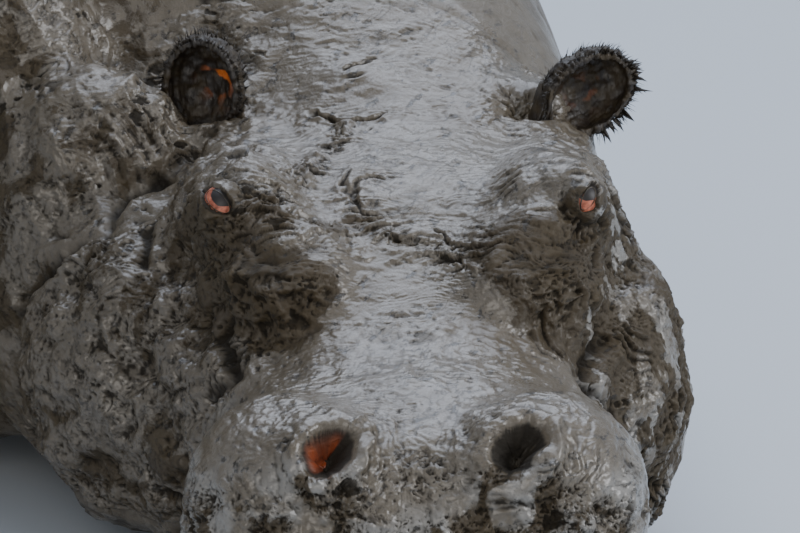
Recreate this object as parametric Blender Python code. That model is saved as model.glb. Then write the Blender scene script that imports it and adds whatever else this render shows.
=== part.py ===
"""A hippopotamus at rest on its belly, life size, in metres: +Z up, the trunk along Y, facing -Y.

The whole animal is shaped as one body first: a loft along a bent spine, rounded masses on it and
four folded legs. One voxel skin joins them, and thin flat cuts then part it where its parts meet.
"""

import bmesh
import bpy
from math import cos, pi, radians, sin
from mathutils import Matrix, Vector

# Driving dimensions
TURN = radians(52)  # how far the neck bends to the animal's right
SHOULDER_Y = -0.50  # where the straight trunk ends and the neck begins
NECK_LENGTH = 0.52
HEAD_LENGTH = 0.72  # the straight part of the head, from the front of the muzzle
RING_POINTS = 48
VOXEL = 0.011
BLEND_STEPS = 18  # smoothing that blends the masses into each other
CUT = 0.0008  # width of the thin cuts between parts
FLOOR = 0.0
SEAT_GAP = 0.0004  # room round an eye or an ear in its seat
TRIANGLES = 4500
HEAD_DETAIL = 0.035  # how strongly the head keeps its triangles
NEAR_HEAD = 0.35  # the detail fades from this distance from the head's middle
HEAD_FADE = 0.50
LEAST_WEIGHT = 0.02

# Places on the head: out to the side, back from the front of the muzzle, up
EYE_AT = Vector((0.192, 0.450, 0.445))
EYE_RADIUS = 0.022
EAR_AT = {1: Vector((0.216, 0.745, 0.475)), -1: Vector((0.203, 0.745, 0.489))}
EAR_YAW = {1: radians(20), -1: radians(20)}  # how far an ear's opening turns outward
EAR_DROOP = {1: radians(62), -1: 0.0}  # how far an ear's tip leans outward
EAR_RADII = Vector((0.047, 0.036, 0.058))
EAR_WALL = Vector((0.006, 0.006, 0.006))
EAR_MOUTH = 0.012  # how far ahead of the ear's middle it is cut open
STALK_AT = Vector((-0.012, 0.010, -0.060))  # from the ear's middle
STALK_RADII = Vector((0.027, 0.025, 0.045))
MOUTH_CORNER = 0.45  # behind the front of the muzzle
MOUTH_HEIGHT = 0.120
HEAD_END = NECK_LENGTH - 0.10  # where head and neck part, ahead of the shoulders
NECK_END = 0.04
FAR = 3.0  # reach of a cut that passes right through

# Sections of the trunk and neck: distance ahead of the shoulders, half width, back height,
# height of the widest line, belly height, and how square the upper and lower halves are
BODY_SECTIONS = (
    (-2.06, 0.12, 0.64, 0.52, 0.40, 2.0, 2.0),
    (-2.01, 0.28, 0.77, 0.48, 0.20, 2.0, 2.0),
    (-1.87, 0.43, 0.895, 0.43, 0.04, 2.1, 2.2),
    (-1.60, 0.53, 0.955, 0.40, -0.012, 2.1, 2.5),
    (-1.20, 0.595, 0.945, 0.37, -0.012, 2.1, 2.6),
    (-0.80, 0.605, 0.925, 0.36, -0.012, 2.1, 2.6),
    (-0.40, 0.55, 0.925, 0.37, -0.012, 2.1, 2.5),
    (-0.12, 0.49, 0.89, 0.37, -0.010, 2.1, 2.4),
    (0.08, 0.41, 0.80, 0.34, 0.0, 2.0, 2.3),
    (0.24, 0.33, 0.665, 0.31, 0.005, 2.0, 2.3),
    (0.38, 0.275, 0.565, 0.28, 0.004, 2.0, 2.3),
    (0.50, 0.250, 0.500, 0.25, -0.004, 2.0, 2.4),
)
# Sections of the head, by distance behind the front of the muzzle, in the same order
HEAD_SECTIONS = (
    (0.66, 0.248, 0.472, 0.24, -0.008, 2.1, 2.5),
    (0.58, 0.252, 0.460, 0.23, -0.008, 2.2, 2.5),
    (0.50, 0.250, 0.440, 0.22, -0.008, 2.2, 2.5),
    (0.42, 0.236, 0.398, 0.20, -0.008, 2.2, 2.5),
    (0.35, 0.222, 0.360, 0.19, -0.008, 2.2, 2.5),
    (0.28, 0.212, 0.338, 0.18, -0.006, 2.3, 2.5),
    (0.20, 0.220, 0.332, 0.16, -0.004, 2.5, 2.6),
    (0.12, 0.222, 0.318, 0.15, 0.0, 2.6, 2.6),
    (0.055, 0.20, 0.290, 0.15, 0.008, 2.7, 2.5),
    (0.018, 0.15, 0.250, 0.15, 0.040, 2.5, 2.3),
    (0.0, 0.08, 0.200, 0.15, 0.090, 2.0, 2.0),
)
# Rounded masses on both sides of the head: side, back, up, and their radii in the same order
HEAD_MASSES = {
    "lip_pad": ((0.138, 0.145, 0.202), (0.110, 0.132, 0.130)),
    "nostril_mound": ((0.100, 0.100, 0.276), (0.066, 0.084, 0.062)),
    "brow": ((0.163, 0.512, 0.416), (0.066, 0.095, 0.062)),
    "brow_slope": ((0.128, 0.440, 0.362), (0.092, 0.105, 0.072)),
    "temple": ((0.165, 0.600, 0.350), (0.090, 0.150, 0.112)),
    "jowl": ((0.200, 0.565, 0.190), (0.122, 0.180, 0.175)),
    "ear_root": ((0.170, 0.755, 0.425), (0.062, 0.070, 0.055)),
    "chin": ((0.085, 0.130, 0.075), (0.115, 0.120, 0.085)),
}
# On the inside of the bend the cheek is pressed outward in a roll.
PRESSED_CHEEK = ((-0.262, 0.620, 0.205), (0.145, 0.150, 0.190))
# Rolls of the neck behind the cheek, on the inside of the bend
NECK_ROLLS = (
    ((-0.315, 0.745, 0.270), (0.150, 0.095, 0.240)),
    ((-0.430, 0.860, 0.330), (0.150, 0.110, 0.290)),
)

# A leg is a chain of masses: side, y, up, half width, half height.
FORELEG = (
    (0.31, -0.24, 0.52, 0.22, 0.30),
    (0.43, -0.02, 0.31, 0.185, 0.24),
    (0.510, 0.07, 0.165, 0.145, 0.165),
    (0.545, -0.08, 0.120, 0.122, 0.128),
    (0.560, -0.23, 0.092, 0.105, 0.102),
    (0.568, -0.31, 0.074, 0.100, 0.086),
)
HINDLEG = (
    (0.30, 1.10, 0.52, 0.27, 0.35),
    (0.46, 0.88, 0.38, 0.20, 0.27),
    (0.565, 0.74, 0.24, 0.150, 0.18),
    (0.610, 0.91, 0.150, 0.130, 0.145),
    (0.610, 1.08, 0.108, 0.104, 0.112),
    (0.645, 0.94, 0.084, 0.096, 0.090),
    (0.670, 0.82, 0.070, 0.094, 0.080),
)
FOREFOOT = Vector((0.575, -0.385, 0.044))
HINDFOOT = Vector((0.680, 0.735, 0.040))
FOOT_RADII = Vector((0.114, 0.118, 0.068))
TOES = 4
TOE_STEP = radians(29)  # how far the toes spread from each other
TOE_REACH = 0.094
TOE_RADII = Vector((0.038, 0.046, 0.040))
BEADS = 7  # masses between two joints of a leg

TAIL = (
    (1.46, 0.70, 0.080, 0.090),
    (1.55, 0.60, 0.054, 0.050),
    (1.585, 0.48, 0.042, 0.032),
    (1.575, 0.34, 0.040, 0.024),
    (1.545, 0.23, 0.042, 0.020),
)

SKIN_COLOUR = (0.20, 0.175, 0.16)
EAR_COLOUR = (0.10, 0.06, 0.045)
EYE_COLOUR = (0.05, 0.03, 0.02)


def spine(ahead):
    """Place and heading (both level) of the spine, by distance ahead of the shoulders."""
    bend = min(max(ahead, 0.0), NECK_LENGTH)
    angle = TURN * bend / NECK_LENGTH
    radius = NECK_LENGTH / TURN
    straight = ahead - bend
    heading = Vector((-sin(angle), -cos(angle), 0.0))
    place = Vector((-radius * (1 - cos(angle)), SHOULDER_Y - radius * sin(angle), 0.0))
    return place + straight * heading, heading


def left_of(heading):
    """Level direction to the animal's left of a heading."""
    return Vector((0, 0, 1)).cross(heading)


MUZZLE, HEADING = spine(NECK_LENGTH + HEAD_LENGTH)
LEFT = left_of(HEADING)


def on_head(place, side=1):
    """World position of a place given on the head."""
    return MUZZLE + LEFT * place[0] * side - HEADING * place[1] + Vector((0, 0, place[2]))


def head_matrix(place, side=1):
    """Axes of the head (left, back, up) set at a place on it."""
    axes = Matrix((LEFT, -HEADING, Vector((0, 0, 1)))).transposed().to_4x4()
    return Matrix.Translation(on_head(place, side)) @ axes


def swell(value, power):
    """A sine or cosine made squarer as the power rises above 2."""
    return abs(value) ** (2 / power) * (1 if value >= 0 else -1)


def add_section(bm, ahead, half_width, back, widest, belly, upper, lower):
    """A ring of points across the spine."""
    place, heading = spine(ahead)
    left = left_of(heading)
    ring = []
    for i in range(RING_POINTS):
        angle = 2 * pi * i / RING_POINTS
        power = upper if sin(angle) >= 0 else lower
        rise = (back - widest) if sin(angle) >= 0 else (widest - belly)
        across = left * half_width * swell(cos(angle), power)
        height = Vector((0, 0, widest + rise * swell(sin(angle), power)))
        ring.append(bm.verts.new(place + across + height))
    return ring


def add_loft(bm):
    """The trunk, neck and head as one closed loft."""
    sections = list(BODY_SECTIONS)
    for back, *shape in HEAD_SECTIONS:
        sections.append((NECK_LENGTH + HEAD_LENGTH - back, *shape))
    rings = [add_section(bm, *section) for section in sections]
    for one, two in zip(rings, rings[1:]):
        for i in range(RING_POINTS):
            j = (i + 1) % RING_POINTS
            bm.faces.new((one[i], one[j], two[j], two[i]))
    bm.faces.new(reversed(rings[0]))
    bm.faces.new(rings[-1])


def unit_sphere(segments, rings):
    """A sphere's mesh of radius 1, made once."""
    name = f"sphere_{segments}_{rings}"
    if name not in bpy.data.meshes:
        bm = bmesh.new()
        bmesh.ops.create_uvsphere(bm, u_segments=segments, v_segments=rings, radius=1.0)
        bm.to_mesh(bpy.data.meshes.new(name))
        bm.free()
    return bpy.data.meshes[name]


def add_mass(bm, matrix, radii, segments=28, rings=16):
    """A rounded mass."""
    first = len(bm.verts)
    bm.from_mesh(unit_sphere(segments, rings))
    bm.verts.ensure_lookup_table()
    place = matrix @ Matrix.Diagonal((*radii, 1.0))
    bmesh.ops.transform(bm, matrix=place, verts=bm.verts[first:])


def add_chain(bm, joints):
    """Masses that follow a chain of joints: place and radii, run together."""
    for (place, radii), (next_place, next_radii) in zip(joints, joints[1:]):
        for step in range(BEADS + 1):
            t = step / BEADS
            add_mass(bm, Matrix.Translation(place.lerp(next_place, t)), radii.lerp(next_radii, t))


def add_leg(bm, joints, foot, side):
    """A folded leg with its foot and toes."""
    chain = []
    for x, y, z, half_width, half_height in joints:
        radii = Vector((half_width, (half_width + half_height) / 2, half_height))
        chain.append((Vector((side * x, y, z)), radii))
    add_chain(bm, chain)
    centre = Vector((side * foot.x, foot.y, foot.z))
    add_mass(bm, Matrix.Translation(centre), FOOT_RADII)
    for toe in range(TOES):
        turn = Matrix.Rotation((toe - (TOES - 1) / 2) * TOE_STEP, 4, "Z")
        reach = Matrix.Translation((0, -TOE_REACH, -0.006))
        add_mass(bm, Matrix.Translation(centre) @ turn @ reach, TOE_RADII)


def add_tail(bm):
    """The flat short tail, hanging against the rump to near the floor."""
    add_chain(bm, [(Vector((0, y, z)), Vector((wide, deep, deep))) for y, z, wide, deep in TAIL])


def new_object(name, bm):
    """An object from a bmesh, which is freed."""
    mesh = bpy.data.meshes.new(name)
    bm.to_mesh(mesh)
    bm.free()
    obj = bpy.data.objects.new(name, mesh)
    bpy.context.collection.objects.link(obj)
    return obj


def bake(obj):
    """Replace an object's mesh by what its modifiers make of it."""
    graph = bpy.context.evaluated_depsgraph_get()
    mesh = bpy.data.meshes.new_from_object(obj.evaluated_get(graph))
    obj.modifiers.clear()
    obj.data = mesh


def remove(obj):
    """Take a helper object out of the file."""
    bpy.data.objects.remove(obj)


def shape_body():
    """The whole animal as one smooth closed body."""
    bm = bmesh.new()
    add_loft(bm)
    for place, radii in HEAD_MASSES.values():
        for side in (-1, 1):
            add_mass(bm, head_matrix(place, side), radii)
    for place, radii in (PRESSED_CHEEK, *NECK_ROLLS):
        add_mass(bm, head_matrix(place), radii)
    for side in (-1, 1):
        add_leg(bm, FORELEG, FOREFOOT, side)
        add_leg(bm, HINDLEG, HINDFOOT, side)
    add_tail(bm)
    bmesh.ops.recalc_face_normals(bm, faces=bm.faces)
    body = new_object("body", bm)
    skin = body.modifiers.new("skin", "REMESH")
    skin.mode = "VOXEL"
    skin.voxel_size = VOXEL
    blend = body.modifiers.new("blend", "SMOOTH")
    blend.factor = 0.5
    blend.iterations = BLEND_STEPS
    bake(body)
    return body


def reduce_body(body):
    """Fewer triangles, with the head and feet kept finer."""
    group = body.vertex_groups.new(name="coarse")
    for vertex in body.data.vertices:
        reach = (vertex.co - on_head((0.0, 0.35, 0.25))).length
        weight = min(max((reach - NEAR_HEAD) / HEAD_FADE, LEAST_WEIGHT), 1.0)
        group.add([vertex.index], weight, "REPLACE")
    cut = body.modifiers.new("reduce", "DECIMATE")
    cut.ratio = TRIANGLES / (2 * len(body.data.polygons))
    cut.vertex_group = group.name
    cut.vertex_group_factor = HEAD_DETAIL
    cut.use_collapse_triangulate = True
    bake(body)
    body.vertex_groups.clear()


def boolean(obj, tool, operation):
    """Cut an object with a tool, or keep what they share."""
    modifier = obj.modifiers.new(operation.lower(), "BOOLEAN")
    modifier.operation = operation
    modifier.solver = "EXACT"
    modifier.object = tool
    bake(obj)


def box_object(name, low, high, matrix=Matrix.Identity(4)):
    """A box between two corners, placed by a matrix."""
    bm = bmesh.new()
    size = Vector(high) - Vector(low)
    middle = (Vector(high) + Vector(low)) / 2
    place = matrix @ Matrix.Translation(middle) @ Matrix.Diagonal((*size, 1.0))
    bmesh.ops.create_cube(bm, size=1.0, matrix=place)
    return new_object(name, bm)


def loose_parts(bm):
    """The vertices of a mesh, gathered by the closed body they belong to."""
    left = set(bm.verts)
    parts = []
    while left:
        part = set()
        edge = [left.pop()]
        while edge:
            vertex = edge.pop()
            part.add(vertex)
            near = {link.other_vert(vertex) for link in vertex.link_edges} & left
            left -= near
            edge += near
        parts.append(part)
    return sorted(parts, key=len)


def drop_crumbs(obj):
    """Keep an object's largest body, without the crumbs that a cut leaves at its corners."""
    bm = bmesh.new()
    bm.from_mesh(obj.data)
    crumbs = [vertex for part in loose_parts(bm)[:-1] for vertex in part]
    bmesh.ops.delete(bm, geom=crumbs, context="VERTS")
    bm.to_mesh(obj.data)
    bm.free()


def split_off(body, name, low, high, matrix=Matrix.Identity(4)):
    """Move what lies in a box from the body to a new node, with a thin cut between them."""
    node = body.copy()
    node.name = name
    node.data = body.data.copy()
    bpy.context.collection.objects.link(node)
    inner = box_object("inner", low, high, matrix)
    boolean(node, inner, "INTERSECT")
    remove(inner)
    margin = Vector((CUT, CUT, CUT))
    outer = box_object("outer", Vector(low) - margin, Vector(high) + margin, matrix)
    boolean(body, outer, "DIFFERENCE")
    remove(outer)
    return node


def frame_at(ahead):
    """Axes across the spine (left, back, up) at a distance ahead of the shoulders."""
    place, heading = spine(ahead)
    axes = Matrix((left_of(heading), -heading, Vector((0, 0, 1)))).transposed().to_4x4()
    return Matrix.Translation(place) @ axes


# Boxes that hold the nodes, low and high corners: the head, neck and jaw in the axes of their cuts
# (left, back, up), and a limb's on the left side
HEAD_BOX = ((-0.50, -FAR, -FAR), (0.60, 0.0, FAR))
JAW_BOX = ((-FAR, -FAR, -FAR), (FAR, MOUTH_CORNER, MOUTH_HEIGHT))
NECK_BOX = ((-FAR, -FAR, -FAR), (FAR, 0.0, FAR))
FORELEG_BOX = ((0.44, -0.40, -0.10), (0.80, 0.20, 0.25))
FOREFOOT_BOX = ((0.452, -0.57, -0.10), (0.85, -0.29, 0.125))
HINDLEG_BOX = ((0.50, 0.70, -0.10), (0.90, 1.28, 0.33))
HINDFOOT_BOX = ((0.552, 0.54, -0.10), (0.90, 0.80, 0.125))
TAIL_BOX = ((-0.12, 1.535, -0.10), (0.12, 1.80, 0.72))


def mirrored(box, side):
    """A box of the left side, or its mirror image on the right."""
    low, high = Vector(box[0]), Vector(box[1])
    if side < 0:
        low.x, high.x = -high.x, -low.x
    return low, high


def mass_object(name, matrix, radii):
    """A rounded mass as an object of few faces."""
    bm = bmesh.new()
    add_mass(bm, matrix, radii, segments=14, rings=8)
    return new_object(name, bm)


def ear_matrix(side):
    """Axes of an ear: out of the head, back, up."""
    yaw = Matrix.Rotation(side * EAR_YAW[side], 4, "Z")
    return head_matrix(EAR_AT[side], side) @ yaw @ Matrix.Rotation(side * EAR_DROOP[side], 4, "Y")


def ear_masses(side, grow=0.0):
    """The ear's outer form: cup and stalk, each a little larger where it makes room."""
    margin = Vector((grow, grow, grow))
    place = ear_matrix(side)
    stalk_at = Vector((STALK_AT.x * side, STALK_AT.y, STALK_AT.z))
    cup = mass_object("cup", place, EAR_RADII + margin)
    stalk = mass_object("stalk", place @ Matrix.Translation(stalk_at), STALK_RADII + margin)
    return cup, stalk


def make_ear(name, side):
    """A cupped ear on its stalk, open to the front."""
    ear, stalk = ear_masses(side)
    ear.name = name
    boolean(ear, stalk, "UNION")
    front = box_object("front", (-0.2, -0.2, -0.2), (0.2, -EAR_MOUTH, 0.2), ear_matrix(side))
    hollow = mass_object("hollow", ear_matrix(side), EAR_RADII - EAR_WALL)
    for tool in (front, hollow):
        boolean(ear, tool, "DIFFERENCE")
    for tool in (stalk, front, hollow):
        remove(tool)
    return ear


def seat_ear(head, side):
    """Room for an ear's cup and stalk in the head."""
    for tool in ear_masses(side, SEAT_GAP):
        boolean(head, tool, "DIFFERENCE")
        remove(tool)


def make_eye(head, name, side):
    """An eyeball, and its socket in the head."""
    place = head_matrix(EYE_AT, side)
    socket = EYE_RADIUS + SEAT_GAP
    tool = mass_object("socket", place, (socket, socket, socket))
    boolean(head, tool, "DIFFERENCE")
    remove(tool)
    return mass_object(name, place, (EYE_RADIUS, EYE_RADIUS, EYE_RADIUS))


def material(name, colour, roughness):
    """A plain material of one colour."""
    made = bpy.data.materials.new(name)
    made.use_nodes = True
    shader = made.node_tree.nodes["Principled BSDF"]
    shader.inputs["Base Color"].default_value = (*colour, 1.0)
    shader.inputs["Roughness"].default_value = roughness
    return made


def finish(nodes):
    """Give each node its material, and set the origin under the middle of the animal."""
    corners = [vertex.co for obj in nodes for vertex in obj.data.vertices]
    low = Vector([min(corner[i] for corner in corners) for i in range(3)])
    high = Vector([max(corner[i] for corner in corners) for i in range(3)])
    middle = (low + high) / 2
    shift = Matrix.Translation((-middle.x, -middle.y, 0.0))
    for obj in nodes:
        if obj.name.startswith("eye"):
            look = material(obj.name, EYE_COLOUR, 0.15)
        elif obj.name.startswith("ear"):
            look = material(obj.name, EAR_COLOUR, 0.85)
        else:
            look = material(obj.name, SKIN_COLOUR, 0.7)
        obj.data.materials.clear()
        obj.data.materials.append(look)
        obj.data.transform(shift)
        obj.data.shade_smooth()
        obj.data.set_sharp_from_angle(angle=radians(40))


def main():
    for obj in list(bpy.data.objects):
        bpy.data.objects.remove(obj)
    body = shape_body()
    reduce_body(body)
    above = box_object("above", (-FAR, -FAR, FLOOR), (FAR, FAR, FAR))
    boolean(body, above, "INTERSECT")
    remove(above)

    head = split_off(body, "head", *HEAD_BOX, frame_at(HEAD_END))
    nodes = [split_off(head, "lower_jaw", *JAW_BOX, head_matrix((0.0, 0.0, 0.0)))]
    nodes.append(split_off(body, "neck", *NECK_BOX, frame_at(NECK_END)))
    for letter, side in (("l", 1), ("r", -1)):
        nodes.append(split_off(body, "forefoot_" + letter, *mirrored(FOREFOOT_BOX, side)))
        nodes.append(split_off(body, "foreleg_" + letter, *mirrored(FORELEG_BOX, side)))
        nodes.append(split_off(body, "hindfoot_" + letter, *mirrored(HINDFOOT_BOX, side)))
        nodes.append(split_off(body, "hindleg_" + letter, *mirrored(HINDLEG_BOX, side)))
    nodes.append(split_off(body, "tail", *TAIL_BOX))
    for letter, side in (("l", 1), ("r", -1)):
        seat_ear(head, side)
        nodes.append(make_ear("ear_" + letter, side))
        nodes.append(make_eye(head, "eye_" + letter, side))
    body.name = "trunk"
    nodes += [head, body]
    for node in nodes:
        drop_crumbs(node)
    finish(nodes)


main()
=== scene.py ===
"""A hippopotamus out of its wallow, lying with its chin on the floor and its head turned.

One hide covers the whole body, wet mud lies over the head and neck in thick pieces, and the eyes,
lids, ears, hair and toenails are pieces of their own. All lengths are in metres.
"""

from math import cos, pi, radians, sin

import bmesh
import bpy
import numpy as np
from bpy.props import FloatProperty, FloatVectorProperty
from mathutils import Matrix, Vector


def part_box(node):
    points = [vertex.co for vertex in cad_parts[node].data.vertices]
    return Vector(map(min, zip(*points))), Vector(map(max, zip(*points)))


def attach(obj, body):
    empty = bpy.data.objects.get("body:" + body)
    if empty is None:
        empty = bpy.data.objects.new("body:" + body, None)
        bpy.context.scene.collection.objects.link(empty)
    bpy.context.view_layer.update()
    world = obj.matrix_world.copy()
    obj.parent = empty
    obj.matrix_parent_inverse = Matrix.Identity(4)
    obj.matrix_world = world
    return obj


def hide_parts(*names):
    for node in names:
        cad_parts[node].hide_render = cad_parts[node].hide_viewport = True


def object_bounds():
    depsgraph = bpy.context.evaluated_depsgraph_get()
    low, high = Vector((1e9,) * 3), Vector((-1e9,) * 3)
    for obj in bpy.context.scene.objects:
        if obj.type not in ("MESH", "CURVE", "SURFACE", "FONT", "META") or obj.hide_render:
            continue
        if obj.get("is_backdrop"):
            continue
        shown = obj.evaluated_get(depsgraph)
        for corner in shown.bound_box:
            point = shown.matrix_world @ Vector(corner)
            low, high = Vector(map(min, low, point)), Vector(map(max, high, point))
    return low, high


bl_info = {
    "name": "Resting Hippopotamus",
    "version": (1, 0, 0),
    "blender": (4, 5, 0),
    "location": "View3D > Sidebar > Hippopotamus",
    "description": "Builds the hide, mud, eyes, ears, hair and toenails of a resting hippopotamus",
    "category": "Object",
}

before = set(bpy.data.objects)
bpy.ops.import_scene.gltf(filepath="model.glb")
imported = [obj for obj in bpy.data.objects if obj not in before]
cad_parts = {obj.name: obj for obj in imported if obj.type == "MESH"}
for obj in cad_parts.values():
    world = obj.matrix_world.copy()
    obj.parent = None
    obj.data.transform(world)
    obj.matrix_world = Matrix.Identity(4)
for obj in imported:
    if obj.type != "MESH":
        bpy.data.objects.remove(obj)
CAD_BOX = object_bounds()
UP = Vector((0, 0, 1))


# The head's own axes, from the eyes: to its left, back from the front of the muzzle, and up

def middle(node):
    """Centre of a node's box."""
    low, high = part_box(node)
    return (low + high) / 2


EYE_BACK = 0.450  # how far the eyes lie behind the front of the muzzle
EYES = {1: middle("eye_l"), -1: middle("eye_r")}
EYE_SIZE = (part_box("eye_l")[1].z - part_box("eye_l")[0].z) / 2
LEFT = (EYES[1] - EYES[-1]).normalized()
BACK = UP.cross(LEFT)
MUZZLE = (EYES[1] + EYES[-1]) / 2 - BACK * EYE_BACK
MUZZLE.z = 0.0
HEAD_AXES = np.array((LEFT, BACK, UP))


def on_head(place):
    """World position of a place on the head: left, back, up."""
    return MUZZLE + LEFT * place[0] + BACK * place[1] + UP * place[2]


def to_head(points):
    """Rows of world positions in the head's axes."""
    return (points - np.array(MUZZLE)) @ HEAD_AXES.T


# Noise over rows of points

def noise(points, size, seed=0):
    """Smooth noise, about -1 to 1, whose lumps are of a size."""
    spot = np.ascontiguousarray((points / size).T, np.float32)
    floor = np.floor(spot)
    inside = spot - floor
    ease = inside * inside * inside * (inside * (inside * 6 - 15) + 10)
    whole = floor.astype(np.int32).view(np.uint32)
    factors = (np.uint32(0x9E3779B1), np.uint32(0x85EBCA77), np.uint32(0xC2B2AE3D))
    keys = [(row * factor, row * factor + factor) for row, factor in zip(whole, factors)]
    total = np.zeros(len(points), np.float32)
    for corner in np.ndindex(2, 2, 2):
        mixed = keys[0][corner[0]] ^ keys[1][corner[1]] ^ keys[2][corner[2]]
        mixed = mixed + np.uint32(seed * 7919 + 17)
        mixed = (mixed ^ (mixed >> np.uint32(15))) * np.uint32(0x2C1B3C6D)
        mixed = (mixed ^ (mixed >> np.uint32(12))) * np.uint32(0x297A2D39)
        mixed ^= mixed >> np.uint32(15)
        value = np.zeros(len(points), np.float32)
        weight = np.ones(len(points), np.float32)
        for axis, step in enumerate(corner):
            slope = ((mixed >> np.uint32(10 * axis)) & np.uint32(1023)).astype(np.float32)
            value += (slope * np.float32(1 / 511.5) - 1) * (inside[axis] - np.float32(step))
            weight *= ease[axis] if step else 1 - ease[axis]
        total += weight * value
    return total * np.float32(1.4)


def layered(points, size, layers, seed=0, keep=0.5, shaped=np.positive):
    """Noise in layers, each half the size of the one before."""
    total = np.zeros(len(points), np.float32)
    for layer in range(layers):
        total += shaped(noise(points, size / 2 ** layer, seed + layer)) * keep ** layer
    return total


def lumpy(points, size, layers, seed=0, keep=0.5):
    """Rounded lumps with sharp valleys between them, about 0 to 1."""
    return layered(points, size, layers, seed, keep, np.abs)


def fade(values, start, end):
    """0 before the start and 1 after the end, smooth between."""
    t = np.clip((values - start) / (end - start), 0.0, 1.0)
    return t * t * (3 - 2 * t)


def near(points, centre, radii):
    """1 at a centre, falling to 0 a few radii away."""
    gap = (points - np.array(centre)) / np.array(radii)
    return np.exp(-np.sum(gap * gap, axis=1))


def hump(gaps, width):
    """1 where the gap is 0, falling away over a width on both sides."""
    return np.exp(-((gaps / width) ** 2))


def zigzag(phase):
    """Straight folds along a phase: 1 at whole numbers, 0 halfway between them."""
    return np.abs(phase - np.floor(phase) - 0.5) * 2


def heaped(base, points, table):
    """Base with an amount added softly round each centre of a table."""
    for centre, radii, amount in table:
        base = base + amount * near(points, centre, radii)
    return base


def path_gap(points, path):
    """Distance of each point from a path of straight runs, and how far along the path it is."""
    best = np.full(len(points), np.inf)
    place = np.zeros(len(points))
    for number, (one, two) in enumerate(zip(np.array(path)[:-1], np.array(path)[1:])):
        run = two - one
        along = np.clip((points - one) @ run / (run @ run), 0.0, 1.0)
        gap = np.linalg.norm(points - one - along[:, None] * run, axis=1)
        place = np.where(gap < best, number + along, place)
        best = np.minimum(best, gap)
    return best, place / (len(path) - 1)


EDGE_SHARE = 0.16  # how much of a flap its steep edge takes


def flaps(points, spacing, waver, size, seed):
    """Torn flaps of mud lying over each other, 0 to 1: each has a sharp lower front edge."""
    phase = (points[:, 1] + points[:, 2]) / spacing + waver * layered(points, size, 3, seed)
    part = phase - np.floor(phase)
    return np.minimum(part / EDGE_SHARE, (1 - part) / (1 - EDGE_SHARE))


def terraced(values, steps, edge=0.13):
    """Values carried to flat steps with sharp edges between, like layers of torn mud."""
    part = values * steps
    whole = np.floor(part)
    return (whole + fade(part - whole, 0.5 - edge, 0.5 + edge)) / steps


# Meshes

FLESH = (
    "head", "lower_jaw", "neck", "trunk", "tail", "foreleg_l", "foreleg_r", "forefoot_l",
    "forefoot_r", "hindleg_l", "hindleg_r", "hindfoot_l", "hindfoot_r",
)
FEET = ("forefoot_l", "forefoot_r", "hindfoot_l", "hindfoot_r")
GRAIN = 0.014  # size of the fused hide's faces
LEVELS = 3  # how often the mud's faces are halved
PIT_SHADE_ROUNDS = (8, 40) if LEVELS == 3 else (3, 10)  # easing that finds small and broad pits, for the shade painted in them
PIT_SHADE_DEPTHS = (0.0009, 0.0030)  # how deep pits are that are wholly painted dark as shade
# how deep a pit in the hide is when it is wholly painted dark as shade
HIDE_PIT_SHADE = 0.004
BROAD_ROUNDS, LAST_ROUNDS = 70, 4  # easing of the fused hide
SUNK = 0.004  # how far the hide lies under the mud's lowest places
LINING = 0.003  # how far the mud's inner faces lie under the hide
MUD_EDGE = 0.012  # how far the mud is drawn down at its own edge
CLEAR = 0.0004  # the lowest that the hide and the mud come to the floor
CLOSE = 1e-5  # vertices nearer than this are one
SOCKET = 1.04  # size of the ball that fills an eye socket, in eyes
SIDES = {1: "l", -1: "r"}


def read(items, field, width=3, kind=np.float32):
    """A field of mesh items as rows of numbers."""
    values = np.empty(len(items) * width, kind)
    items.foreach_get(field, values)
    return values.reshape(-1, width) if width > 1 else values


def place(mesh, points):
    """Moves a mesh's vertices to rows of positions."""
    mesh.vertices.foreach_set("co", np.ascontiguousarray(points, np.float32).ravel())
    mesh.update()


def surface(mesh):
    """Positions, normals and edges of a mesh."""
    return (read(mesh.vertices, "co"), read(mesh.vertex_normals, "vector"),
            read(mesh.edges, "vertices", 2, np.int32))


def raised(points, normals, height, floor=CLEAR):
    """Points moved out along their normals, none of them under a floor."""
    moved = points + normals * height[:, None]
    moved[:, 2] = np.maximum(moved[:, 2], floor)
    return moved


def map_flat(mesh, flat):
    """Gives a mesh its bake map, from a flat place for each vertex."""
    layer = mesh.uv_layers.new(name="OFBake")
    corners = read(mesh.loops, "vertex_index", 1, np.int32)
    layer.data.foreach_set("uv", flat[corners].astype(np.float32).ravel())


def mark(mesh, name, values):
    """Stores one number for each vertex under a name, for the materials to read."""
    layer = mesh.attributes.new(name, "FLOAT", "POINT")
    layer.data.foreach_set("value", np.ascontiguousarray(values, np.float32))


def new_object(name, source):
    """Object in the scene, made of a mesh or of a bmesh that is then freed."""
    mesh = source
    if isinstance(source, bmesh.types.BMesh):
        mesh = bpy.data.meshes.new(name)
        source.to_mesh(mesh)
        source.free()
    mesh.shade_smooth()
    piece = bpy.data.objects.new(name, mesh)
    bpy.context.scene.collection.objects.link(piece)
    return piece


def bake(piece):
    """Puts an object's modifiers into its mesh."""
    graph = bpy.context.evaluated_depsgraph_get()
    mesh = bpy.data.meshes.new_from_object(piece.evaluated_get(graph))
    piece.modifiers.clear()
    old, piece.data = piece.data, mesh
    mesh.name = piece.name
    bpy.data.meshes.remove(old)
    mesh.shade_smooth()


def remesh(piece, size):
    """Rebuilds a piece as one closed surface of square faces."""
    modifier = piece.modifiers.new("remesh", "REMESH")
    modifier.mode = "VOXEL"
    modifier.voxel_size = size
    bake(piece)


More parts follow.
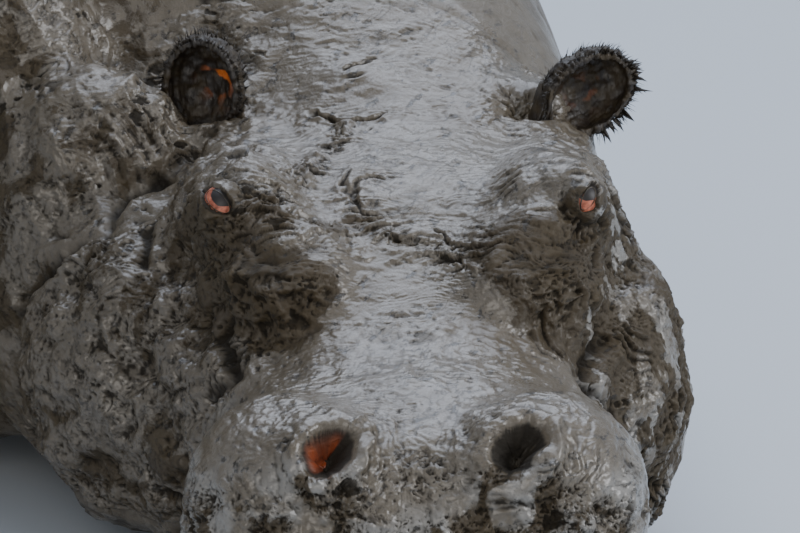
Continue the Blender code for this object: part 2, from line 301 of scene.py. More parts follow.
def spread(values, edges, rounds, weight=1.0, swap=(0.5, 0.5)):
    """Values on vertices, each drawn towards its neighbours' mean in turn by two factors."""
    one, two = edges.T
    count = np.maximum(np.bincount(edges.ravel(), minlength=len(values)), 1)
    columns = values.reshape(len(values), -1).astype(np.float64)
    for turn in range(rounds):
        for i in range(columns.shape[1]):
            column = columns[:, i]
            total = np.bincount(one, column[two], len(column))
            total += np.bincount(two, column[one], len(column))
            columns[:, i] = column + swap[turn % 2] * weight * (total / count - column)
    return columns.reshape(values.shape)


def fused_body():
    """One closed surface over all the flesh, its eye sockets filled and its facets eased away."""
    shape = bmesh.new()
    for name in FLESH:
        shape.from_mesh(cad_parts[name].data)
    for eye in EYES.values():
        bmesh.ops.create_uvsphere(
            shape, u_segments=24, v_segments=12, radius=EYE_SIZE * SOCKET,
            matrix=Matrix.Translation(eye),
        )
    bmesh.ops.remove_doubles(shape, verts=shape.verts, dist=CLOSE)
    body = new_object("skin", shape)
    remesh(body, GRAIN)
    mesh = body.data
    points, _, edges = surface(mesh)
    # the front of the head, the tail and the feet are eased less
    soft = 1 - 0.75 * fade(to_head(points)[:, 1], 0.80, 0.62)
    soft *= 1 - 0.8 * fade(path_gap(points, TAIL)[0], 0.16, 0.10)
    for foot in FEET:
        low, high = (np.array(corner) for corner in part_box(foot))
        outside = np.maximum(low - points, points - high).max(axis=1)
        soft *= 1 - 0.85 * fade(outside, 0.03, 0.0)
    points = spread(points, edges, BROAD_ROUNDS, soft, (0.62, -0.65))
    points = spread(points, edges, LAST_ROUNDS, 1.0, (0.5, -0.52))
    place(mesh, points)
    return body


# The relief of the head's mud, in the head's axes

FURROWS = (  # path, width, depth
    (((-0.202, 0.389, 0.359), (-0.195, 0.380, 0.312), (-0.183, 0.334, 0.287),
      (-0.209, 0.357, 0.257), (-0.225, 0.377, 0.223)), 0.012, 0.014),
    (((0.209, 0.412, 0.344), (0.207, 0.409, 0.301), (0.190, 0.320, 0.285),
      (0.205, 0.346, 0.260), (0.241, 0.399, 0.204)), 0.012, 0.014),
    (((-0.181, 0.400, 0.411), (-0.144, 0.373, 0.410), (-0.112, 0.376, 0.412),
      (-0.079, 0.411, 0.417)), 0.014, 0.005),
    (((0.101, 0.403, 0.422), (0.131, 0.363, 0.404), (0.164, 0.378, 0.407),
      (0.199, 0.429, 0.407)), 0.014, 0.006),
    (((-0.181, 0.701, 0.451), (-0.22, 0.698, 0.418), (-0.287, 0.648, 0.389),
      (-0.321, 0.60, 0.366), (-0.364, 0.609, 0.335), (-0.397, 0.658, 0.274),
      (-0.413, 0.678, 0.21)), 0.012, 0.016),
    (((-0.269, 0.585, 0.386), (-0.268, 0.545, 0.365), (-0.273, 0.518, 0.340)), 0.008, 0.009),
    (((0.208, 0.438, 0.448), (0.213, 0.456, 0.403), (0.209, 0.412, 0.378)), 0.007, 0.012),
    (((0.222, 0.420, 0.400), (0.232, 0.430, 0.350), (0.222, 0.400, 0.318)), 0.008, 0.010),
    (((-0.094, 0.706, 0.471), (-0.073, 0.679, 0.469), (-0.047, 0.663, 0.469),
      (-0.019, 0.663, 0.472), (0.0, 0.680, 0.478)), 0.0026, 0.009),
    (((-0.030, 0.640, 0.468), (-0.010, 0.660, 0.475), (0.016, 0.695, 0.485)), 0.0020, 0.004),
    (((-0.055, 0.728, 0.489), (-0.041, 0.748, 0.501), (-0.023, 0.759, 0.509),
      (-0.007, 0.761, 0.510)), 0.0022, 0.004),
    (((-0.060, 0.720, 0.485), (-0.038, 0.726, 0.492), (-0.010, 0.748, 0.502)), 0.0020, 0.004),
    (((-0.054, 0.499, 0.433), (-0.047, 0.520, 0.441), (-0.031, 0.531, 0.445),
      (-0.010, 0.529, 0.445)), 0.0022, 0.004),
    (((-0.054, 0.560, 0.450), (-0.060, 0.520, 0.440), (-0.040, 0.480, 0.428),
      (-0.010, 0.470, 0.425)), 0.0024, 0.005),
    (((0.030, 0.455, 0.412), (0.045, 0.445, 0.409), (0.054, 0.415, 0.402),
      (0.068, 0.382, 0.392)), 0.0022, 0.005),
    (((-0.232, 0.520, 0.345), (-0.245, 0.520, 0.338), (-0.255, 0.525, 0.330)), 0.014, 0.010),
    (((-0.190, 0.420, 0.330), (-0.215, 0.430, 0.290), (-0.250, 0.470, 0.260)), 0.014, 0.010),
    (((0.003, 0.086, 0.302), (0.001, 0.050, 0.282), (0.0, 0.028, 0.257),
      (0.0, 0.005, 0.18)), 0.020, 0.0035),
)
BUMPS = (  # centre, radii, height
    ((-0.038, 0.735, 0.492), (0.045, 0.034, 0.04), 0.012),
    ((-0.045, 0.540, 0.445), (0.030, 0.028, 0.03), 0.006),
    ((-0.150, 0.560, 0.450), (0.060, 0.070, 0.05), 0.006),
    ((-0.180, 0.395, 0.440), (0.022, 0.020, 0.03), 0.006),
    ((-0.205, 0.470, 0.485), (0.030, 0.030, 0.03), 0.006),
    ((0.222, 0.390, 0.350), (0.020, 0.022, 0.018), 0.012),
    ((0.195, 0.455, 0.485), (0.030, 0.030, 0.03), 0.006),
    ((0.130, 0.500, 0.450), (0.050, 0.060, 0.05), 0.004),
    ((-0.192, 0.480, 0.490), (0.042, 0.034, 0.028), 0.014),
    ((-0.232, 0.450, 0.425), (0.030, 0.034, 0.034), 0.010),
    ((-0.150, 0.415, 0.450), (0.028, 0.026, 0.030), 0.010),
    ((0.192, 0.480, 0.490), (0.042, 0.034, 0.028), 0.012),
    ((0.235, 0.455, 0.440), (0.028, 0.034, 0.040), 0.012),
    ((0.150, 0.415, 0.445), (0.028, 0.026, 0.030), 0.009),
    ((0.160, 0.735, 0.485), (0.045, 0.050, 0.050), 0.024),
    ((-0.300, 0.520, 0.330), (0.040, 0.050, 0.040), 0.012),
    ((-0.235, 0.450, 0.300), (0.035, 0.040, 0.035), 0.012),
    ((-0.340, 0.560, 0.240), (0.045, 0.050, 0.045), 0.012),
    ((0.250, 0.480, 0.240), (0.040, 0.050, 0.050), 0.010),
)
TAIL = (  # its middle, in world positions
    (0.044, 1.500, 0.700), (0.044, 1.560, 0.560), (0.044, 1.550, 0.330), (0.044, 1.500, 0.225),
)
BARE_AND_SHADE = (  # centre, radii, how much of the mud is gone; the two under the brows also darken those hollows as painted shade
    ((0.150, 0.385, 0.400), (0.066, 0.050, 0.034), 0.80),
    ((0.225, 0.420, 0.300), (0.045, 0.060, 0.035), 0.35),
    ((-0.145, 0.365, 0.385), (0.060, 0.050, 0.040), 0.80),
    ((-0.180, 0.425, 0.425), (0.040, 0.040, 0.030), 0.35),
    ((-0.030, 0.010, 0.170), (0.200, 0.080, 0.045), 0.20),
)
BROWS = (  # centre, radii, how torn
    ((-0.150, 0.450, 0.425), (0.070, 0.095, 0.060), 1.0),
    ((0.155, 0.450, 0.420), (0.065, 0.090, 0.055), 1.0),
    ((-0.135, 0.355, 0.372), (0.060, 0.045, 0.045), 0.8),
    ((0.165, 0.365, 0.370), (0.050, 0.045, 0.045), 0.6),
)
RIDGES = (  # path, width
    (((-0.130, 0.440, 0.440), (-0.060, 0.455, 0.432), (0.000, 0.430, 0.415),
      (0.070, 0.400, 0.402)), 0.040),
    (((-0.125, 0.520, 0.450), (-0.070, 0.590, 0.452), (-0.050, 0.650, 0.465)), 0.024),
)
SHADED = (  # centre, radii, how dark the hollow is
    ((-0.150, 0.370, 0.398), (0.050, 0.032, 0.034), 0.75),
    ((-0.118, 0.340, 0.362), (0.045, 0.034, 0.034), 0.55),
    ((0.162, 0.385, 0.405), (0.055, 0.034, 0.030), 0.60),
    ((0.205, 0.405, 0.330), (0.030, 0.040, 0.050), 0.50),
)
NOSTRILS = {  # centre, its long way, its short way
    -1: ((-0.097, 0.040, 0.313), (-0.036, -0.034, -0.038), (-0.033, 0.038, 0.036)),
    1: ((0.096, 0.043, 0.315), (-0.042, -0.033, -0.035), (0.033, 0.038, 0.036)),
}
NOSTRIL_DEPTH = 0.044
NOSTRIL_HALVES = (0.038, 0.027)
NOSTRIL_WALL = {-1: (1.0, 1.0), 1: (0.0, 0.4)}  # how fleshy its inner wall is, and how lit
LOOK = {1: (0.24, -0.80, 0.32), -1: (-0.33, -0.78, 0.50)}  # which way each eye faces
SLANT = {1: (-0.52, 0.0, -0.85), -1: (0.72, 0.0, -0.70)}  # long way of each eye's opening
EYE_HALVES = {1: (0.0135, 0.0066), -1: (0.0170, 0.0085)}  # halves of each eye's opening
GAZE = {1: (0.0, 0.0, 0.85), -1: (0.40, 0.0, 0.46)}  # how each iris is turned from its opening
MOUTH_HEIGHT = 0.120
FURROW_SHADE_DEPTH = 0.010  # a furrow this deep is wholly painted dark as shade
OFF = 9  # added to the reach of places off the plane of an opening


def smeared(head):
    """Places moved about a little, so that lines over them waver."""
    shift = np.stack([noise(head, 0.035, seed) for seed in (11, 12, 13)], axis=1)
    return head + shift * 0.009 + noise(head, 0.011, 14)[:, None] * 0.003


def across_of(way, along):
    """A direction made square to another, both of length 1."""
    along = np.array(along) / np.linalg.norm(along)
    way = np.array(way) - along * (np.array(way) @ along)
    return way / np.linalg.norm(way), along


def nostril_reach(head, side):
    """How far out of a nostril places are, 1 on its rim, and how far to the head's left."""
    centre, long_way, short_way = NOSTRILS[side]
    short_way, long_way = across_of(short_way, long_way)
    gap = head - np.array(centre)
    along, across = gap @ long_way, gap @ short_way
    off = gap - along[:, None] * long_way - across[:, None] * short_way
    uneven = 1 + 0.16 * noise(head, 0.018, 21) + 0.035 * noise(head, 0.006, 28)
    reach = np.hypot(along / NOSTRIL_HALVES[0], across / NOSTRIL_HALVES[1]) * uneven
    return reach + fade(np.linalg.norm(off, axis=1), 0.05, 0.10) * OFF, across * side


def eye_axes(side):
    """Front of an eye, the long and short ways of its opening, and the way it looks."""
    long_way, look = across_of(SLANT[side], LOOK[side])
    front = to_head(np.array(EYES[side])[None, :])[0] + look * EYE_SIZE
    return front, long_way, np.cross(look, long_way), look


def eye_reach(head, side):
    """How far out of an eye's opening places are, 1 on its rim."""
    front, long_way, short_way, look = eye_axes(side)
    gap = head - front
    halves = EYE_HALVES[side]
    reach = np.hypot(gap @ long_way / halves[0], gap @ short_way / halves[1])
    reach = reach * (1 + 0.15 * noise(head, 0.008, 22))
    return reach + fade(np.abs(gap @ look), 0.02, 0.04) * OFF


def folds(head):
    """Height of the head's large folds, hollows and lumps, and the shade painted in its furrows,
    hollows and lip line.
    """
    bent = smeared(head)
    height = np.zeros(len(head))
    painted_shade = np.zeros(len(head))
    for path, width, depth in FURROWS:
        gap, along = path_gap(bent, path)
        ends = fade(along, 0.0, 0.22) * fade(along, 1.0, 0.78)
        wide = width * (0.6 + 0.4 * ends)
        height -= depth * ends * hump(gap, wide)
        height += 0.2 * depth * ends * hump(gap - 2.2 * wide, wide)
        # painted shade along each furrow, darker the deeper it is
        painted_shade = np.maximum(painted_shade, ends * hump(gap, wide) * min(1.0, depth / FURROW_SHADE_DEPTH))
    height = heaped(height, bent, BUMPS)
    for centre, radii, amount in SHADED:
        shade = near(bent, centre, radii) * (0.8 + 0.4 * layered(head, 0.020, 3, 27))
        painted_shade = np.maximum(painted_shade, amount * shade)
    # the lip line: sunk, and painted dark along it as shade
    lips = hump(bent[:, 2] - MOUTH_HEIGHT, 0.007) * fade(bent[:, 1], 0.47, 0.42)
    height -= 0.011 * lips
    # slanting wrinkles behind the cheek, under the right ear
    slant = (head[:, 0] * 0.75 + head[:, 2] * 0.65) / 0.017 + 1.2 * noise(head, 0.07, 23)
    under_ear = near(head, (-0.275, 0.700, 0.440), (0.080, 0.090, 0.060))
    height += 0.0045 * under_ear * (zigzag(slant) - 0.5)
    return height, np.maximum(painted_shade, lips * 0.8)


def openings(head):
    """Height of the nostrils and eye openings, their bare flesh, and the shade painted in their
    depths.
    """
    height = np.zeros(len(head))
    flesh = np.zeros(len(head))
    painted_shade = np.zeros(len(head))
    for side, (centre, *_) in NOSTRILS.items():
        reach, leftward = nostril_reach(head, side)
        height -= NOSTRIL_DEPTH * fade(reach, 1.05, 0.64)
        height += 0.0025 * layered(head, 0.012, 2, 26) * fade(reach, 1.1, 0.9)
        height += (0.004 + 0.004 * (leftward * side < 0)) * hump(reach - 1.30, 0.22)
        wall = fade(leftward, 0.005, -0.002) * fade(reach, 0.93, 0.80)
        wall *= fade(head[:, 2], centre[2] + 0.022, centre[2] + 0.010)
        wall *= 0.65 + 0.35 * fade(layered(head, 0.010, 2, 25), -0.25, 0.15)
        fleshy, lit = NOSTRIL_WALL[side]
        flesh = np.maximum(flesh, wall * fleshy)
        # painted shade inside the nostril, left off the lit part of its inner wall
        painted_shade = np.maximum(painted_shade, fade(reach, 0.99, 0.90) * (1 - lit * wall))
    for side in LOOK:
        reach = eye_reach(head, side)
        height -= 0.011 * fade(reach, 1.12, 0.80)
        height += 0.0015 * hump(reach - 1.6, 0.4)
        # painted shade at the rim of the eye's opening
        painted_shade = np.maximum(painted_shade, fade(reach, 1.14, 1.00))
    return height, flesh, painted_shade


def head_relief(head, up_facing):
    """Height over the head's mud, and its bare hide (more of it under the brows, partly as painted
    shade), torn spots painted dark as shade, and pale flakes.
    """
    left, back, up = head.T
    # the smooth muzzle and bridge, the rough rest, the flaking left and the nape
    muzzle = fade(back, 0.37, 0.27)
    bridge = fade(np.abs(left + 0.01), 0.17, 0.09) * (1 - muzzle) * fade(up_facing, 0.3, 0.7)
    calm = np.maximum(muzzle * 0.92, bridge * 0.92)
    rough = 1 - calm
    right_side = fade(left, 0.05, -0.12)
    flaky = fade(left, 0.12, 0.20) * fade(up_facing, 0.75, 0.35)
    flaky *= fade(back, 0.26, 0.34) * fade(back, 0.80, 0.50)
    patchy = fade(noise(head, 0.09, 31), -0.35, 0.35)
    nape = fade(left, -0.20, -0.28) * fade(back, 0.58, 0.68)
    rear = (1 - 0.55 * fade(back, 0.72, 0.90)) * (1 - 0.5 * nape)
    worn = rough * rear
    film = fade(up_facing, 0.55, 0.85) * fade(noise(head, 0.07, 59), -0.45, 0.0)
    # broad unevenness and rounded lumps
    height = 0.008 * layered(head, 0.14, 3, 30) * (0.4 + 0.6 * rough)
    bent = head + noise(head, 0.03, 35)[:, None] * 0.012
    lumps = 0.013 * layered(bent, 0.060, 2, 38, 0.55)
    lumps += 0.008 * (lumpy(bent, 0.050, 2, 40) - 0.45)
    height += rough * (0.5 + 0.5 * right_side) * (1 - 0.6 * flaky) * rear * lumps
    # torn flaps
    large = flaps(head, 0.046, 2.6, 0.095, 44)
    height += worn * (0.0065 * large - 0.002) * fade(noise(head, 0.075, 45), 0.05, 0.40)
    small = flaps(head * (0.6, 1.0, 1.0), 0.0130, 3.2, 0.055, 47)
    hang = 0.25 + 0.75 * fade(up_facing, 0.10, 0.55)
    height += (0.0004 + 0.0014 * rough) * rear * small * patchy * hang * (1 - 0.8 * muzzle)
    # thick torn mud on the brows and in the hollows under them, and ridges between the brows
    ridge = np.zeros(len(head))
    for path, width in RIDGES:
        ridge = np.maximum(ridge, hump(path_gap(bent, path)[0], width))
    ridge *= fade(noise(head, 0.06, 49), -0.55, -0.05)
    brow = heaped(np.zeros(len(head)), head, BROWS) + 0.9 * ridge
    hung = np.maximum(fade(up_facing, 0.80, 0.45), 0.75 * ridge)
    ledge = flaps(head * (0.7, 1.0, 1.0), 0.030, 1.7, 0.080, 46)
    chunk = terraced(layered(bent * (0.7, 1.0, 1.0), 0.050, 5, 48, 0.6), 3)
    height += brow * ((0.002 + 0.004 * hung) * ledge + (0.002 + 0.011 * hung) * chunk - 0.002)
    # broken plates, thin layers, grains and crumbs
    plates = terraced(layered(bent * (0.8, 1.0, 1.0), 0.060, 5, 50, 0.6), 3)
    plates *= (1 - 0.8 * np.clip(brow, 0, 1)) * (1 - 0.7 * film)
    plates *= fade(noise(head, 0.10, 53), -0.4, 0.2)
    height += worn * 0.0075 * plates
    thin = terraced(layered(head * (0.5, 1.0, 1.0), 0.055, 5, 52, 0.6), 3, 0.10)
    thin *= fade(noise(head, 0.09, 55), 0.0, 0.4)
    height += np.maximum(bridge, 0.6 * muzzle) * 0.0026 * thin
    grain = layered(head, 0.0105, 3, 54, 0.65)
    grain *= 0.3 + 0.7 * fade(noise(head, 0.05, 57), -0.3, 0.3)
    height += worn * (1 - 0.8 * film) * 0.0026 * grain
    # fine wavy wrinkles over the bridge and forehead
    fine = flaps(head * (0.5, 1.0, 1.0), 0.0085, 3.4, 0.045, 51)
    silky = np.maximum(bridge, 0.8 * film)
    wavy = silky * (0.15 + 0.85 * patchy) * (1 - 0.6 * fade(back, 0.62, 0.74))
    height += 0.0014 * fine * wavy
    height += 0.0012 * silky * layered(head * (0.5, 1.0, 1.0), 0.014, 3, 58)
    # flow lines round the nostrils
    reach = np.minimum(nostril_reach(head, 1)[0], nostril_reach(head, -1)[0])
    flow = np.sin(reach * 7 + 9 * layered(head, 0.07, 2, 60))
    flow += 0.7 * np.sin(reach * 17 + 16 * layered(head, 0.05, 2, 61))
    flow *= fade(reach, 5, 1.8) * fade(reach, 1.1, 1.5) * fade(noise(head, 0.06, 62), -0.5, 0.2)
    height += 0.0010 * flow * muzzle
    height += 0.0017 * layered(head * (1.0, 0.35, 1.0), 0.016, 3, 63) * muzzle
    # crumbled mud along the front of the muzzle
    crumble = muzzle * fade(up_facing, 0.62, 0.20) * fade(noise(head, 0.05, 65), -0.40, 0.10)
    notch = near(head, (0.0, 0.035, 0.285), (0.040, 0.035, 0.035))
    crumble = np.maximum(crumble, 0.8 * muzzle * notch)
    bits = 0.010 * terraced(layered(head, 0.034, 5, 68, 0.65), 3)
    bits += 0.004 * lumpy(head, 0.030, 4, 66, 0.6) - 0.002
    height += crumble * bits
    # torn spots and cracks, small and long, with a few larger ones: sunk here, and painted dark as
    # shade by the material
    torn_shaded = fade(layered(head * (0.4, 1.0, 1.0), 0.0125, 3, 70, 0.6), 0.44, 0.62)
    wider = fade(layered(head * (0.5, 1.0, 1.0), 0.030, 4, 76, 0.6), 0.50, 0.66)
    crack = fade(layered(head * (0.7, 1.0, 1.0), 0.020, 4, 78, 0.62), 0.30, 0.52)
    torn_shaded = np.maximum(torn_shaded, wider) * (0.15 + 0.85 * fade(noise(head, 0.085, 73), -0.1, 0.35))
    torn_shaded *= 1 - 0.6 * bridge
    cracked = np.clip(brow * (0.2 + hung) + 0.40 * rough * right_side, 0, 1)
    torn_shaded = np.maximum(torn_shaded, crack * cracked) * (1 - muzzle * 0.5 * (1 - crumble))
    torn_shaded = np.maximum(torn_shaded, 0.9 * crack * crumble)
    height -= 0.0030 * torn_shaded
    # how far the mud is gone from the hide; more is gone under the brows and on their downward
    # faces, partly as painted shade there
    gone = heaped(0.30 + 0.16 * rough + 0.10 * flaky, head, BARE_AND_SHADE)
    gone = gone + 0.16 * layered(head, 0.10, 2, 84) + 0.28 * crumble - 0.10 * calm
    # the brows' downward faces and ridges lose more mud, partly as painted shade under them
    gone = gone + 0.30 * np.clip(brow, 0, 1) * hung - 0.14 * film * rough
    drip = layered(head * (1.0, 1.0, 0.45), 0.045, 5, 80, 0.6)
    bare = np.clip(gone + 0.62 * flaky * (0.06 - drip), 0, 1)
    height -= 0.0022 * fade(bare, 0.45, 0.75)
    # soft upright folds at the side of the neck
    upright = (left * 0.9 + up * 0.35) / 0.055 + 1.1 * layered(head, 0.16, 2, 90)
    height += 0.006 * nape * zigzag(upright) ** 1.5
    pale = muzzle * fade(up_facing, 0.75, 0.35) * fade(up_facing, -0.5, 0.0)
    pale = np.maximum(flaky, pale) * fade(layered(head, 0.050, 4, 92, 0.6), -0.45, 0.25)
    return height, {"bare": bare, "torn_shaded": np.clip(torn_shaded, 0, 1), "pale": pale}


def body_relief(points):
    """Height of the creases and mud clods of the body away from the head."""
    height = 0.012 * layered(points, 0.34, 2, 101)
    for spacing, lean, seed in ((0.105, 0.25, 110), (0.068, -0.45, 114)):
        phase = (points[:, 1] + lean * points[:, 2]) / spacing
        valley = 1 - zigzag(phase + 1.5 * layered(points, 0.45, 2, seed))
        crease = np.clip(1.6 * valley - 0.6, 0, 1) ** 2
        height -= 0.007 * crease * fade(noise(points, 0.32, seed + 2), -0.05, 0.5)
    height += 0.005 * layered(points * (1.0, 1.0, 0.7), 0.12, 3, 120)
    height *= 0.3 + 0.7 * fade(points[:, 2], 0.03, 0.20)
    # the tail stands out, with a groove at each side of it
    gap, along = path_gap(points, TAIL)
    height += 0.020 * hump(gap, 0.044 - 0.016 * along)
    height -= 0.012 * hump(gap - 0.080, 0.022)
    return height


MUD_BACK = (0.90, 0.78)  # the thick mud ends between these places back,
MUD_SIDE = (0.56, 0.48)  # between these to either side
MUD_UNDER = (-0.66, -0.48)  # and where faces look down this much
HEAD_BACK = (1.00, 0.80)  # the head's relief gives way to the body's between these places back
HEAD_SIDE = (0.70, 0.55)  # and between these to either side


def mud_cover(points, up_facing):
    """1 where the thick mud lies, 0 away from it."""
    left, back, _ = to_head(points).T
    cover = fade(back, *MUD_BACK) * fade(np.abs(left), *MUD_SIDE)
    return cover * fade(up_facing, *MUD_UNDER)


def relief(points, normals):
    """Height over the eased body at points, and the marks that the materials read."""
    head = to_head(points)
    front = fade(head[:, 1], *HEAD_BACK) * fade(np.abs(head[:, 0]), *HEAD_SIDE)
    close, far = front > 0, front < 1
    fine, found = head_relief(head[close], normals[close, 2])
    large, fold_shade = folds(head[close])
    holes, found["flesh"], opening_shade = openings(head[close])
    # painted shade of the furrows, hollows, lip line, nostrils and eye openings
    found["painted_shade"] = np.maximum(fold_shade, opening_shade)
    marks = {}
    for name in ("bare", "torn_shaded", "painted_shade", "flesh", "pale"):
        marks[name] = np.zeros(len(points))
        marks[name][close] = found[name]
    height = np.zeros(len(points))
    height[close] = (fine + large + holes) * front[close]
    height[far] += body_relief(points[far]) * (1 - front[far])
    patches = 0.41 + 0.26 * layered(points[far], 0.30, 4, 130)
    patches -= 0.08 * fade(normals[far, 2], 0.3, 0.9)
    marks["bare"][far] = marks["bare"][far] * front[far] + patches * (1 - front[far])
    marks["specks"] = 0.25 + 0.75 * front * fade(np.abs(head[:, 0] + 0.05), 0.55, 0.20)
    return height, marks


# Materials, each from the marks on its pieces and the colours

class Shader:
    """A material's nodes, made one call at a time."""

    def __init__(self, name):
        self.material = bpy.data.materials.new(name)
        self.material.use_nodes = True
        self.tree = self.material.node_tree
        self.surface = self.tree.nodes["Principled BSDF"]
        self.spot = self.add("ShaderNodeTexCoord").outputs["Object"]

    def add(self, kind, **settings):
        node = self.tree.nodes.new(kind)
        for name, value in settings.items():
            setattr(node, name, value)
        return node

    def feed(self, socket, value):
        """Links or sets an input."""
        if isinstance(value, bpy.types.NodeSocket):
            self.tree.links.new(value, socket)
        else:
            socket.default_value = value

    def noise(self, scale, detail=4.0, rough=0.55, spot=None, distortion=0.0):
        node = self.add("ShaderNodeTexNoise")
        self.feed(node.inputs["Vector"], spot or self.spot)
        for name, value in (("Scale", scale), ("Detail", detail), ("Roughness", rough),
                            ("Distortion", distortion)):
            node.inputs[name].default_value = value
        return node.outputs["Fac"]

    def cells(self, scale, spot=None):
        node = self.add("ShaderNodeTexVoronoi")
        self.feed(node.inputs["Vector"], spot or self.spot)
        node.inputs["Scale"].default_value = scale
        return node.outputs["Distance"]

    def stretch(self, scale, turn=(0.0, 0.0, 0.0)):
        node = self.add("ShaderNodeMapping")
        self.feed(node.inputs["Vector"], self.spot)
        node.inputs["Rotation"].default_value = turn
        node.inputs["Scale"].default_value = scale
        return node.outputs["Vector"]

    def attribute(self, name):
        return self.add("ShaderNodeAttribute", attribute_name=name).outputs["Fac"]

    def maths(self, operation, value, *others):
        """One operation over all the values in turn."""
        for other in others:
            node = self.add("ShaderNodeMath", operation=operation)
            self.feed(node.inputs[0], value)
            self.feed(node.inputs[1], other)
            value = node.outputs[0]
        return value

    def times(self, one, two):
        return self.maths("MULTIPLY", one, two)

    def span(self, value, low, high, start=0.0, end=1.0):
        """Value from low to high carried to start to end, and held there outside."""
        node = self.add("ShaderNodeMapRange")
        for socket, number in zip(node.inputs[:5], (value, low, high, start, end)):
            self.feed(socket, number)
        return node.outputs[0]

    def mix(self, amount, one, two):
        node = self.add("ShaderNodeMix", data_type="RGBA")
        self.feed(node.inputs[0], amount)
        self.feed(node.inputs[6], one)
        self.feed(node.inputs[7], two)
        return node.outputs[2]

    def bump(self, *layers):
        """Normal raised by layers, each a height, a strength and a distance."""
        normal = None
        for height, strength, distance in layers:
            node = self.add("ShaderNodeBump")
            node.inputs["Strength"].default_value = strength
            node.inputs["Distance"].default_value = distance
            self.feed(node.inputs["Height"], height)
            if normal is not None:
                self.feed(node.inputs["Normal"], normal)
            normal = node.outputs["Normal"]
        return normal

    def set(self, **values):
        """Sets or links the surface's own inputs, underscores standing for spaces."""
        for name, value in values.items():
            self.feed(self.surface.inputs[name.replace("_", " ")], value)


def mud_material(colours):
    """Wet clay film over dark hide: flakes, shade painted in gaps, pits and torn spots, and flesh
    follow the marks.
    """
    shader = Shader("wet_mud")
    slanted = (0.0, 0.0, radians(38))
    broad = shader.noise(3.5, 3.0)
    fine = shader.noise(26.0, 5.0, 0.6)
    grit = shader.noise(190.0, 3.0)
    flake = shader.noise(21.0, 12.0, 0.68, distortion=0.6)
    pit_shade, painted_shade, torn_shaded = (shader.attribute(name) for name in ("pit_shade", "painted_shade", "torn_shaded"))
    away = shader.maths("SUBTRACT", 1.0, shader.attribute("specks"))
    # the film is gone where the flakes' noise falls under the mark
    gone = shader.span(shader.maths("SUBTRACT", shader.attribute("bare"), flake), -0.03, 0.03)
    film = shader.mix(shader.span(broad, 0.35, 0.65), colours.mud, colours.pale_mud)
    film = shader.mix(shader.span(fine, 0.50, 0.72, 0.0, 0.55), film, colours.dark_mud)
    film = shader.mix(shader.times(shader.attribute("pale"), 0.75), film, colours.dry_mud)
    hide = shader.mix(shader.span(fine, 0.35, 0.65), colours.hide, colours.dark_mud)
    colour = shader.mix(gone, film, hide)
    # dark flecks and winding lines
    fleck = shader.noise(80.0, 6.0, 0.66, shader.stretch((0.45, 1.0, 1.0), slanted))
    line = shader.noise(42.0, 6.0, 0.6, shader.stretch((0.5, 1.0, 1.0), slanted), 0.8)
    line = shader.maths("ABSOLUTE", shader.maths("SUBTRACT", line, 0.5), 0.0)
    line = shader.times(shader.span(line, 0.004, 0.014, 1.0, 0.0),
                        shader.span(broad, 0.48, 0.62))
    fleck = shader.maths("MAXIMUM", shader.span(fleck, 0.595, 0.645), shader.times(line, 0.8))
    fleck = shader.times(fleck, shader.attribute("specks"))
    colour = shader.mix(shader.times(fleck, 0.80), colour, colours.gap)
    # painted shade in pits, torn spots, furrows, hollows and openings, and flesh
    for value, low, high, most in ((pit_shade, 0.10, 0.85, 0.92), (torn_shaded, 0.25, 0.8, 0.85),
                                   (painted_shade, 0.3, 0.8, 0.94)):
        colour = shader.mix(shader.span(value, low, high, 0.0, most), colour, colours.gap)
    flesh = shader.mix(shader.span(fine, 0.35, 0.7), colours.flesh, colours.deep_flesh)
    colour = shader.mix(shader.attribute("flesh"), colour, flesh)
    # wet and glossy, less so in closed places, on bare hide and away from the head
    closed = shader.maths("MAXIMUM", pit_shade, painted_shade, torn_shaded)
    rough = shader.maths(
        "ADD", shader.span(fine, 0.3, 0.7, 0.0, 0.12), shader.span(grit, 0.3, 0.7, 0.20, 0.30),
        shader.span(closed, 0.1, 0.9, 0.0, 0.50), shader.times(gone, 0.25),
        shader.times(away, 0.08),
    )
    gloss = shader.maths("SUBTRACT", shader.span(closed, 0.05, 0.7, 0.55, 0.0),
                         shader.times(gone, 0.42), shader.times(away, 0.30))
    silk = shader.stretch((0.30, 1.0, 1.0), slanted)
    normal = shader.bump(
        (shader.times(shader.noise(17.0, 7.0, 0.62), away), 0.8, 0.012),
        (shader.noise(85.0, 6.0, 0.66), 0.45, 0.0040),
        (shader.noise(95.0, 5.0, 0.6, silk, 0.9), 0.50, 0.0032),
        (gone, 0.5, -0.0014),
        (fleck, 0.7, -0.0016),
        (shader.cells(330.0), 0.14, 0.0012),
        (shader.noise(700.0, 3.0), 0.12, 0.0006),
    )
    shader.set(Base_Color=colour, Roughness=rough, Normal=normal, Coat_Roughness=0.13,
               Coat_Weight=shader.maths("MAXIMUM", gloss, 0.0), Specular_IOR_Level=0.5)
    return shader.material


def eyeball_material(colours):
    """Wet eye: a dark iris in a flesh-coloured white."""
    shader = Shader("wet_eye")
    white = shader.span(shader.noise(160.0, 4.0), 0.35, 0.7)
    white = shader.mix(white, colours.lid, colours.deep_flesh)
    iris = shader.span(shader.attribute("iris"), 0.35, 0.6)
    colour = shader.mix(iris, white, (0.012, 0.008, 0.006, 1))
    shader.set(Base_Color=colour, Roughness=0.50, Coat_Weight=0.05, Coat_Roughness=0.2)
    return shader.material


